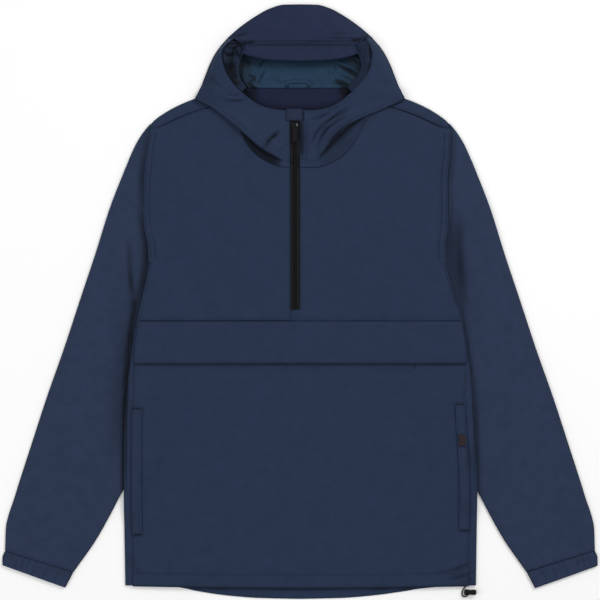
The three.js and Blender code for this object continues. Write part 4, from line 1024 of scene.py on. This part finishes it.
def make_hood_centre():
    u = np.linspace(-1, 1, 91)
    fold_x = 109 * np.sin(u * np.pi / 2)
    fold_y = crown_y(np.abs(fold_x))
    out = np.stack([fold_x, fold_y - 330], axis=1)
    out /= np.linalg.norm(out, axis=1, keepdims=True)
    fold = np.stack([fold_x, fold_y], axis=1) - out * (HOOD_FOLD + CLOTH / 2)
    low, high = CLOTH / 2, CLOTH / 2 + 2 * HOOD_FOLD
    rows = []
    brim_x = u * 96.6
    seam_y = BRIM_SEAM_Y + SEAM / 2 + 13 * smooth((np.abs(brim_x) - 81) / 15.5)
    shares = np.linspace(0, 1, CROWN_ROWS) ** 1.5
    for t in shares:
        x, y = mix(brim_x, fold[:, 0], t), mix(seam_y, fold[:, 1], t)
        z = mix(high, crown_rim_z(brim_x), ease_out(1 - t))
        rows.append(stack(x, y, z + relief(HOOD_CREASES, x, y) * smooth((1 - t) * 4)))
    for k in range(1, TURN_POINTS + 1):
        angle = math.pi * (0.5 - k / TURN_POINTS)
        p = fold + out * HOOD_FOLD * math.cos(angle)
        rows.append(stack(p[:, 0], p[:, 1], low + HOOD_FOLD + HOOD_FOLD * math.sin(angle)))
    for t in np.linspace(0, 1, 16)[1:]:
        rows.append(stack(mix(fold[:, 0], u * 82, t), mix(fold[:, 1], BACK_NECK_Y + SEAM, t), low))
    middle = np.stack(rows)
    shade = crease_shade(HOOD_CREASES, middle[..., 0], middle[..., 1])
    shade[:CROWN_ROWS] += 0.45 * np.exp(-((shares * 36) ** 2))[:, None]
    shade[CROWN_ROWS:] = 0
    shade[CROWN_ROWS:CROWN_ROWS + TURN_POINTS] = FOLD_SHADE[:, None]
    return cloth_wall("hood_centre", middle, CLOTH, HOOD_SHELL, shade=shade)


# Extra height of the collar's lower edge, which stands off the chest
LIP = {-1: 3.0, 1: 2.2}


def lip_share(row):
    return smooth((row - 9.2) / 1.6) * smooth((15.2 - row) / 1.6)


def hood_section(side, row):
    """Points across a hood side: seam, under layer, fold, top layer, rim. row is an array."""
    numbers = np.arange(len(HOOD_SIDE["turn"]))

    def at(name):
        values = np.where(np.isnan(HOOD_SIDE[name]), SLIT[side] + SEAM / 2, HOOD_SIDE[name])
        return curve(numbers, values)(row)

    word = SIDES[side]
    seam = np.stack([at("seam_x"), at("seam_y")], axis=1)
    edge = np.stack([at("fold_x"), at(f"fold_{word}")], axis=1)
    rim = np.stack([at(f"rim_{word}"), at("rim_y")], axis=1)
    share = lip_share(row)
    lip = LIP[side] * share
    radius = (mix(0.35, HOOD_FOLD, at("turn")) + lip * (1 - 0.6 * at("turn")))[:, None]
    turn = np.maximum(at("turn"), np.clip(1.4 * share, 0, 1))[:, None]
    out = edge - rim
    out /= np.linalg.norm(out, axis=1, keepdims=True)
    corner = np.array([109.0, 66.0]) / math.hypot(109, 66)
    out = mix(out, corner, np.clip(1 - row, 0, 1)[:, None])
    out /= np.linalg.norm(out, axis=1, keepdims=True)
    fold = edge - out * turn * (radius + CLOTH / 2)
    rise = at("rise") * (1 - 0.6 * share)
    columns = []
    ridge = (0.4 if side < 0 else 2.6) * share
    for k in range(UNDER_COLUMNS):
        p = mix(seam, fold, k / UNDER_COLUMNS)
        bump_z = ridge * bell(k - 4.6, 2.1) * (1 + 0.3 * np.sin(row * 3.1))
        z = hood_under(p[:, 0], p[:, 1]) + CLOTH / 2 + rise * k / UNDER_COLUMNS + bump_z
        columns.append(stack(p[:, 0], p[:, 1], z))
    low = hood_under(fold[:, 0], fold[:, 1]) + CLOTH / 2 + rise
    for turned in np.linspace(-0.5, 0.5, TURN_POINTS):
        angle = math.pi * turned
        p = fold + out * (turn * radius * math.cos(angle) - (1 - turn) * 1.2 * turned)
        columns.append(stack(p[:, 0], p[:, 1], low + radius[:, 0] * (1 + math.sin(angle))))
    start = columns[-1]
    end = stack(rim[:, 0], rim[:, 1], at("rim_z"))
    for t in np.linspace(0, 1, TOP_COLUMNS + 1)[1:]:
        p = mix(start, end, t)
        p[:, 2] = mix(start[:, 2], end[:, 2], ease_out(t))
        p[:, 2] += relief(HOOD_CREASES, side * p[:, 0], p[:, 1]) * smooth(t * 5)
        columns.append(p)
    return np.stack(columns, axis=1)


# Light lost below the collar's lower edge: at its seam, what is added towards the fold, and the first
# column and the number of columns over which that comes in
UNDER_SHADE = {-1: (0.86, 0.06, 2, 5), 1: (0.2, 0.72, 6, 4)}


def make_hood_side(side):
    rows = np.linspace(0, len(HOOD_SIDE["turn"]) - 1, 300)
    middle = hood_section(side, rows)
    middle[..., 0] *= side
    shade = crease_shade(HOOD_CREASES, middle[..., 0], middle[..., 1])
    at_seam, added, start, run = UNDER_SHADE[side]
    hidden = UNDER_COLUMNS + TURN_POINTS // 2
    shade[:, :hidden] = at_seam + added * smooth((np.arange(hidden) - start) / run)[None, :]
    shade[:, :hidden] *= lip_share(rows)[:, None]
    turn = slice(UNDER_COLUMNS, UNDER_COLUMNS + TURN_POINTS)
    shade[:, turn] += FOLD_SHADE[None, :] * smooth(9.6 - rows)[:, None]
    return cloth_wall(f"hood_side_{SIDES[side]}", middle, CLOTH, SHELL, flip=side > 0,
                      shade=shade, most=0.92)


def make_brim():
    v, u = grid(np.linspace(0, 1, 15), np.linspace(-1, 1, 91))
    x = u * mix(81, 88, v)
    y = mix(BRIM_SEAM_Y - SEAM / 2, brim_y(np.abs(x)), v)
    z = crown_rim_z(x) + 0.6 * v + relief(HOOD_CREASES, x, y)
    shade = crease_shade(HOOD_CREASES, x, y) + 0.5 * smooth(1 - v * 9) + 0.3 * smooth(v * 12 - 11)
    shade = shade + 0.35 * smooth((np.abs(x) - 76) / 10)
    return cloth_wall("hood_brim", stack(x, y, z), BRIM_WALL, HOOD_SHELL, flip=True,
                      shade=shade, most=0.85)


def make_lining():
    low, high = BACK_NECK_Y + 2, 422
    v, u = grid(np.linspace(0, 1, 80), np.linspace(-1, 1, 150))
    y = mix(low, high, v)
    x = u * curve(LINING["y"], LINING["half"])(y)
    sides = 2.6 * smooth((np.abs(u) - 0.7) / 0.3) * smooth((y - low - 5) / 20)
    crown = 1.4 * smooth((y - high + 26) / 26)
    z = CLOTH * 1.5 + SEAM + sides + crown + relief(LINING_CREASES, x, y)
    shade = crease_shade(LINING_CREASES, x, y) + 0.35 * smooth((y - 352) / 10)
    shade = shade + 0.5 * smooth((np.abs(x) - 60) / 26)
    return cloth_wall("hood_lining", stack(x, y, z), CLOTH, LINING_CLOTH, shade=shade,
                      most=0.85)


def facing_edge_y(x, half):
    """Lower edge of the neck facing, which rises to both sides."""
    return 262 + 34 * (x / half) ** 2


def make_neck_facing():
    v, u = grid(np.linspace(0, 1, 30), np.linspace(-1, 1, 60))
    y = mix(BACK_NECK_Y + 1, facing_edge_y(u, 1), v)
    x = u * 94
    z = CLOTH * 1.5 + SEAM + relief(LINING_CREASES, x, y)
    shade = crease_shade(LINING_CREASES, x, y) + 0.5 * smooth((304 + 8 * (x / 84) ** 2 - y) / 22)
    shade = shade + 0.25 * smooth((np.abs(x) - 56) / 20)
    return cloth_wall("neck_facing", stack(x, y, z), CLOTH, FACING_CLOTH, flip=True,
                      shade=shade, most=0.8)


def make_opening_facing(side):
    count = len(FACING["y"])
    rows = np.linspace(0.35, count - 1, 130)
    rim = hood_section(side, rows)[:, -1]
    edge = stack(*(curve(np.arange(count), FACING[key])(rows) for key in (SIDES[side], "y", "z")))
    step = (edge - rim) / np.linalg.norm(edge - rim, axis=1, keepdims=True)
    start = rim + step * 4 * SEAM
    columns = []
    for t in np.linspace(0, 1, 26):
        p = mix(start, edge, t)
        p[:, 2] = mix(rim[:, 2], edge[:, 2], t ** (0.8 if side < 0 else 1.2))
        columns.append(p)
    middle = np.stack(columns, axis=1)
    middle[..., 0] *= side
    across = np.sin(np.pi * np.linspace(0.05, 0.95, 26))
    x, y = middle[..., 0], middle[..., 1]
    middle[..., 2] += relief(FACING_CREASES, x, y) * across
    shade = crease_shade(FACING_CREASES, x, y) + (0.45 if side < 0 else 0.36)
    return cloth_wall(f"opening_facing_{SIDES[side]}", middle, CLOTH, SHELL,
                      flip=side > 0, shade=shade, most=0.94)


# Zip


def tape_z(y):
    chest = CLOTH + MIDDLE_GAP - SEAM - TAPE_WALL / 2
    collar = collar_z(y) - CLOTH / 2 - SEAM - TAPE_WALL / 2
    return mix(chest, collar, smooth((y - TAPE_RISE_Y) / 12))


def make_zip_tape():
    y, x = grid(np.linspace(SLIT_BOTTOM - 3, ZIP_TOP + 4, 142), np.linspace(-11.5, 11.5, 13) + ZIP_X)
    middle = stack(x, y, tape_z(y) + front_relief(x, y))
    return cloth_wall("zip_tape", middle, TAPE_WALL, TAPE)


# The coil's section as distances from its middle and heights, and the steps of one turn along the zip
# as shares of the pitch, with 1 where the turn is high
COIL_PITCH = 1.5
COIL_SECTION = [(-2.6, 0.15), (-2.2, 0.95), (-0.7, 1.25), (0.0, 1.05), (0.7, 1.25), (2.2, 0.95), (2.6, 0.15)]
COIL_STEPS = [(0.0, 0.0), (0.32, 1.0), (0.64, 1.0), (0.9, 0.0)]


def make_coil():
    """Closed coil: interlocked turns from both sides, with a groove down the middle."""
    bottom, top = SLIT_BOTTOM + 1, ZIP_TOP - 1
    rows = []
    for k in range(int((top - bottom) / COIL_PITCH) + 1):
        for share, crest in COIL_STEPS:
            y = bottom + (k + share) * COIL_PITCH
            if y <= top:
                base = tape_z(y) + TAPE_WALL / 2 + SEAM
                rows.append([(ZIP_X + x, y, base + h * (0.62 + 0.38 * crest)) for x, h in COIL_SECTION])
    return cloth_wall("zip_coil", np.array(rows), 0.3, PLASTIC, kind="teeth")


def flat_strip(node, material, box, wall, above, dark):
    """Small strip on the collar; dark gives the light it loses by place from left and from below."""
    left, right, bottom, top = box
    y, x = grid(np.linspace(bottom, top, 30), np.linspace(left, right, 24))
    z = collar_z(np.minimum(y, 286)) + CLOTH / 2 + above + wall / 2 + relief(HOOD_CREASES, x, y)
    shade = dark((x - left) / (right - left), (y - bottom) / (top - bottom))
    return cloth_wall(node, stack(x, y, z), wall, material, shade=shade, most=0.85)


def garage_shade(u, v):
    """Dark along the right edge and towards the zip."""
    return 0.7 * smooth((u - 0.9) * 10) + 0.2 * smooth(1 - v * 7) + 0.3 * smooth(1 - u * 14)


def placket_shade(u, v):
    """Dark beside the zip, and lighter away from it."""
    return 0.62 * smooth(1.3 - 1.5 * u) * smooth(v * 5) + 0.2 * np.sin(np.pi * v)


def make_hanger_loop():
    """Tape loop with its two ends turned down into the neck seam."""
    left, right, half, corner = -19, 13, 2.2, 3
    foot_y, corner_y = 322.0, 327.5
    turns = np.linspace(0, np.pi / 2, 6)
    path = [(left, foot_y)]
    path += [(left + corner - corner * math.cos(a), corner_y + corner * math.sin(a)) for a in turns]
    path += [(right - corner + corner * math.sin(a), corner_y + corner * math.cos(a)) for a in turns]
    path += [(right, foot_y)]
    path = np.array(path)
    run = np.gradient(path, axis=0)
    run /= np.linalg.norm(run, axis=1, keepdims=True)
    side = np.stack([-run[:, 1], run[:, 0]], axis=1)
    across = np.linspace(-half, half, 5)
    middle = path[:, None, :] + side[:, None, :] * across[None, :, None]
    z = np.full(middle.shape[:2], CLOTH * 2 + 2 * SEAM + 0.5)
    middle = np.concatenate([middle, z[..., None]], axis=2)
    return cloth_wall("hanger_loop", middle, 0.9, LINING_CLOTH, flip=True, kind="tape")


def tube_mesh(name, path, radius, material, sides=10):
    """Round tube along points in millimetres, closed at both ends."""
    path = np.array(path, float)
    run = np.gradient(path, axis=0)
    run /= np.linalg.norm(run, axis=1, keepdims=True)
    up = np.tile([0.0, 0.0, 1.0], (len(path), 1))
    side = np.cross(run, up)
    side /= np.maximum(np.linalg.norm(side, axis=1, keepdims=True), 1e-6)
    top = np.cross(side, run)
    angles = np.linspace(0, 2 * np.pi, sides, endpoint=False)
    ring = side[:, None] * np.cos(angles)[None, :, None] + top[:, None] * np.sin(angles)[None, :, None]
    points = path[:, None] + ring * radius
    n = len(path)
    faces = []
    for j in range(n - 1):
        for i in range(sides):
            k = (i + 1) % sides
            faces.append([j * sides + i, j * sides + k, (j + 1) * sides + k, (j + 1) * sides + i])
    faces.append(list(range(sides))[::-1])
    faces.append([(n - 1) * sides + i for i in range(sides)])
    return new_object(name, points.reshape(-1, 3) * MM, faces, material)


def make_hem_cord():
    route = np.array([
        (248.4, -427.2, 2), (247, -429.5, 1.6), (245, -432.4, 1.2), (243.4, -436, 1.1), (243.4, -440, 1.1),
        (246.2, -443.2, 1.1), (250, -442.6, 1.1), (251.8, -440.55, 1.1),
    ])
    t = np.arange(len(route))
    fine = np.linspace(0, len(route) - 1, 40)
    path = np.stack([curve(t, route[:, k])(fine) for k in range(3)], axis=1)
    piece = tube_mesh("hem_cord_line", path, 0.9, TAPE)
    return stands_for(piece, "hem_cord")


back = make_back()
chests = [make_chest(side) for side in SIDES]
lower = make_lower_front()
flap = make_pocket_flap()
welts = [make_welt(side) for side in SIDES]
tab = patch("side_tab", TAB, np.linspace(0.95, 0.99, 5), np.linspace(-199, -216, 8), 1,
            CLOTH + SEAM + 0.3)
sleeves = [make_sleeve(side) for side in SIDES]
cuffs = [make_cuff(side) for side in SIDES]
hood_centre = make_hood_centre()
hood_sides = [make_hood_side(side) for side in SIDES]
brim = make_brim()
lining = make_lining()
neck_facing = make_neck_facing()
facings = [make_opening_facing(side) for side in SIDES]
tape = make_zip_tape()
make_coil()
garage = flat_strip("zip_garage", TAB_CLOTH, (-21, 4.5, 271, 289), 1, 0.6, garage_shade)
placket = flat_strip("zip_placket", SHELL, (0.6, 10.5, 214, 269.5), 0.9, 0.5, placket_shade)
loop = make_hanger_loop()
make_hem_cord()

for node, material in (("zip_slider", ENAMEL), ("zip_pull", PLASTIC), ("cord_lock", PLASTIC)):
    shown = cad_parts[node]
    shown.data.materials.clear()
    shown.data.materials.append(material)
    bevel = shown.modifiers.new("soft_edges", "BEVEL")
    bevel.width = TRIM_BEVEL * MM
    bevel.segments = 2
    bevel.limit_method = "ANGLE"


# Sewing: short raised stitches laid on the cloth below them


def tree_of(pieces):
    points, faces = [], []
    for piece in pieces:
        first = len(points)
        points += [vertex.co.copy() for vertex in piece.data.vertices]
        faces += [[first + k for k in face.vertices] for face in piece.data.polygons]
    return BVHTree.FromPolygons(points, faces)


def spaced(line, pitch):
    """Places along a line of points, a pitch apart, with the direction there."""
    line = np.array(line, float)
    steps = np.linalg.norm(np.diff(line, axis=0), axis=1)
    marks = np.concatenate([[0], np.cumsum(steps)])
    at = np.arange(0.5 * pitch, marks[-1], pitch)
    place = np.stack([np.interp(at, marks, line[:, k]) for k in (0, 1)], axis=1)
    ahead = np.stack([np.interp(at + 0.2, marks, line[:, k]) for k in (0, 1)], axis=1)
    behind = np.stack([np.interp(at - 0.2, marks, line[:, k]) for k in (0, 1)], axis=1)
    run = ahead - behind
    return place, run / np.maximum(np.linalg.norm(run, axis=1, keepdims=True), 1e-9)


def sew(name, tree, lines, material, pitch=2.9, length=2.1, thick=0.34, below=False, turn=0.0):
    """Rows of stitches along lines on the cloth; turn slants each stitch, in degrees."""
    points, faces = [], []
    down = Vector((0, 0, 1 if below else -1))
    start = -0.05 if below else 0.08
    turned = math.radians(turn)
    for line in lines:
        places, runs = spaced(line, pitch)
        for (x, y), (rx, ry) in zip(places, runs):
            dx = rx * math.cos(turned) - ry * math.sin(turned)
            dy = rx * math.sin(turned) + ry * math.cos(turned)
            spots = []
            for share, high in ((-0.5, -0.05), (-0.2, 0.15), (0.2, 0.15), (0.5, -0.05)):
                px, py = x + dx * share * length, y + dy * share * length
                hit = tree.ray_cast(Vector((px * MM, py * MM, start)), down, 0.2)[0]
                if hit is None:
                    break
                spots.append((px, py, hit.z / MM - high * down.z, high))
            if len(spots) < 4 or max(s[2] for s in spots) - min(s[2] for s in spots) > 1.2:
                continue
            first = len(points)
            for px, py, z, high in spots:
                half = thick / 2 if high > 0 else thick / 3
                for side, up in ((1, 0), (0, 1), (-1, 0), (0, -1)):
                    points.append((px - dy * side * half, py + dx * side * half, z + up * half * 0.8))
            for j in range(3):
                for i in range(4):
                    a, b = first + 4 * j + i, first + 4 * j + (i + 1) % 4
                    faces.append([a, b, b + 4, a + 4])
            faces.append([first + 3, first + 2, first + 1, first])
            faces.append([first + 12, first + 13, first + 14, first + 15])
    return new_object(name, np.array(points) * MM, faces, material)


def line_points(start, end, step, cross):
    """Places from start to end along one axis; cross is the other coordinate, or its function."""
    at = np.linspace(start, end, max(2, int(abs(end - start) / step)))
    return at, np.broadcast_to(cross(at) if callable(cross) else cross, at.shape)


def along_x(y, x0, x1, step=6.0):
    return np.stack(line_points(x0, x1, step, y), axis=1)


def along_y(x, y0, y1, step=6.0):
    return np.stack(line_points(y0, y1, step, x)[::-1], axis=1)


def front_edge(side, y):
    """Distance from the middle to the side seam on the lower front."""
    return body_edge[side](y) - side_inset(y)


front_tree = tree_of([back, *chests, lower, flap, *welts])
hood_tree = tree_of([hood_centre, *hood_sides, brim, garage, placket])
front_lines = [
    along_x(YOKE_SEAM_Y + 5.5, -236, -18), along_x(YOKE_SEAM_Y + 5.5, -10, 236),
    along_y(-17.3, SLIT_BOTTOM, 203), along_y(2.3, SLIT_BOTTOM, 203),
    along_y(-16.6, YOKE_SEAM_Y + 2, SLIT_BOTTOM - 2), along_y(-11.8, YOKE_SEAM_Y + 2, SLIT_BOTTOM - 2),
    along_x(lambda x: front_hem_y(np.abs(x)) + 19.4, -250, 250),
]
for side in (-1, 1):
    for inset in (3.4, 9.5):
        front_lines.append(along_y(lambda y: side * (body_edge[side](y) - inset), 66, 254))
    seam = np.stack([side * SHOULDER_SEAM["x"][:5], SHOULDER_SEAM["y"][:5]], axis=1)
    front_lines.append(seam - (0, 3.0))
    front_lines.append(seam + (side * 1.5, 3.4))
    front_lines.append(along_y(lambda y: side * (front_edge(side, y) - 2.6), -402, -100))
sew("front_sewing", front_tree, front_lines, THREAD)

welt_lines, tack_lines = [], [along_y(171.5, -93, -100, step=3)]
for side, (top, bottom) in WELT_ENDS.items():
    for share in (0.954, 0.991):
        welt_lines.append(along_y(
            lambda y: side * share * (front_edge(side, y) - SEAM), bottom + 4, top - 4))
    for y in (top - 1.6, bottom + 1.6):
        edge = float(front_edge(side, y) - SEAM)
        for step in (-0.5, 0.5):
            tack_lines.append(along_x(y + step, side * edge * 0.946, side * edge * 0.996))
sew("welt_sewing", front_tree, welt_lines, THREAD, pitch=2.6, length=1.9, thick=0.3)
sew("welt_tacks", front_tree, tack_lines, DARK_THREAD, pitch=0.8, length=1.8, thick=0.4, turn=72)

rim_rows = np.linspace(0.6, 15.6, 160)
hood_lines = [along_x(BRIM_SEAM_Y + 5.4, -79, 77), along_x(BRIM_SEAM_Y - 2.4, -78, 77),
              along_x(BRIM_SEAM_Y + 2.2, -79, 78)]
for side in (-1, 1):
    section = hood_section(side, rim_rows)
    near_rim = mix(section[:, -1], section[:, RIM_STITCH_COLUMN], 0.14)
    hood_lines.append(near_rim[:, :2] * (side, 1))
    lower_rows = (rim_rows > 9) & (rim_rows < 15.2)
    near_fold = section[lower_rows][:, FOLD_STITCH_COLUMN]
    hood_lines.append(near_fold[:, :2] * (side, 1))
hood_lines += [along_x(272.6, -19.6, 3.2), along_x(287.4, -19.6, 3.2), along_y(3.2, 273, 287),
               along_y(9.2, 216, 268), along_y(-17.4, 212, 268)]
sew("hood_sewing", hood_tree, hood_lines, THREAD, pitch=2.7, length=2.0, thick=0.32)
knots = [
    [(-83.5, 384.5), (-80.5, 389.5)], [(-80, 384), (-84, 390)], [(80, 389), (83, 393)],
    [(84, 388), (80, 393.5)],
]
sew("brim_tacks", hood_tree, knots, DARK_THREAD, pitch=0.9, length=2.2, thick=0.5, turn=80)

inner_tree = tree_of([lining, neck_facing, loop])
inner_lines = [along_x(317.6, -78, 78), along_x(lambda x: facing_edge_y(x, 84) + 4, -60, 60)]
sew("neck_sewing", inner_tree, inner_lines, THREAD, pitch=2.9, length=2.1, thick=0.3)
sew("loop_tacks", inner_tree, [along_x(323.4, -21, -17), along_x(323.4, 11, 15)], DARK_THREAD,
    pitch=0.8, length=1.6, thick=0.35, turn=80)

for number, (side, word) in enumerate(SIDES.items()):
    cuff_tree = tree_of([sleeves[number], cuffs[number]])
    seam = np.array([(side * 438, -371.5), (side * 390, -386.5), (side * 346, -401)])
    lip_line = np.array([(side * 441, -383), (side * 396, -397.5), (side * 352, -411.5)])
    sew(f"cuff_sewing_{word}", cuff_tree, [seam, lip_line], THREAD, pitch=2.7, length=1.9, thick=0.32)

back_tree = tree_of([back, hood_centre, *hood_sides])
under_lines = [along_x(BACK_NECK_Y - 4, -76, 76), along_x(BACK_NECK_Y + 5, -76, 76),
               along_x(lambda x: back_hem_y(np.abs(x)) + 5, -246, 246),
               along_x(lambda x: back_hem_y(np.abs(x)) + 19, -246, 246)]
sew("back_sewing", back_tree, under_lines, THREAD, below=True)

# Floor and light
floor_mesh = bpy.data.meshes.new("floor")
floor_mesh.from_pydata([(-4, -4, 0), (4, -4, 0), (4, 4, 0), (-4, 4, 0)], [], [(0, 1, 2, 3)])
floor = bpy.data.objects.new("floor", floor_mesh)
floor.location.z = -FLOOR_DROP * MM
scene.collection.objects.link(floor)
floor_material, _, floor_shader = new_material("floor")
floor_shader.inputs["Base Color"].default_value = (0.96, 0.96, 0.96, 1)
floor_shader.inputs["Roughness"].default_value = 0.9
floor_mesh.materials.append(floor_material)

world = bpy.data.worlds.new("studio")
world.use_nodes = True
sky = world.node_tree.nodes["Background"]
sky.inputs["Color"].default_value = (1, 1, 1, 1)
sky.inputs["Strength"].default_value = 0.66
scene.world = world


def area_light(name, place, target, size, power):
    data = bpy.data.lights.new(name, "AREA")
    data.shape = "SQUARE"
    data.size = size
    data.energy = power
    light = bpy.data.objects.new(name, data)
    light.location = place
    light.rotation_euler = (Vector(target) - Vector(place)).to_track_quat("-Z", "Y").to_euler()
    scene.collection.objects.link(light)


area_light("key", (1.8, 2.0, 2.3), (0, 0, 0), 1.1, 48)
area_light("fill", (-2.0, -0.4, 2.2), (-0.3, 0, 0), 1.8, 17)
scene.view_settings.view_transform = "Standard"
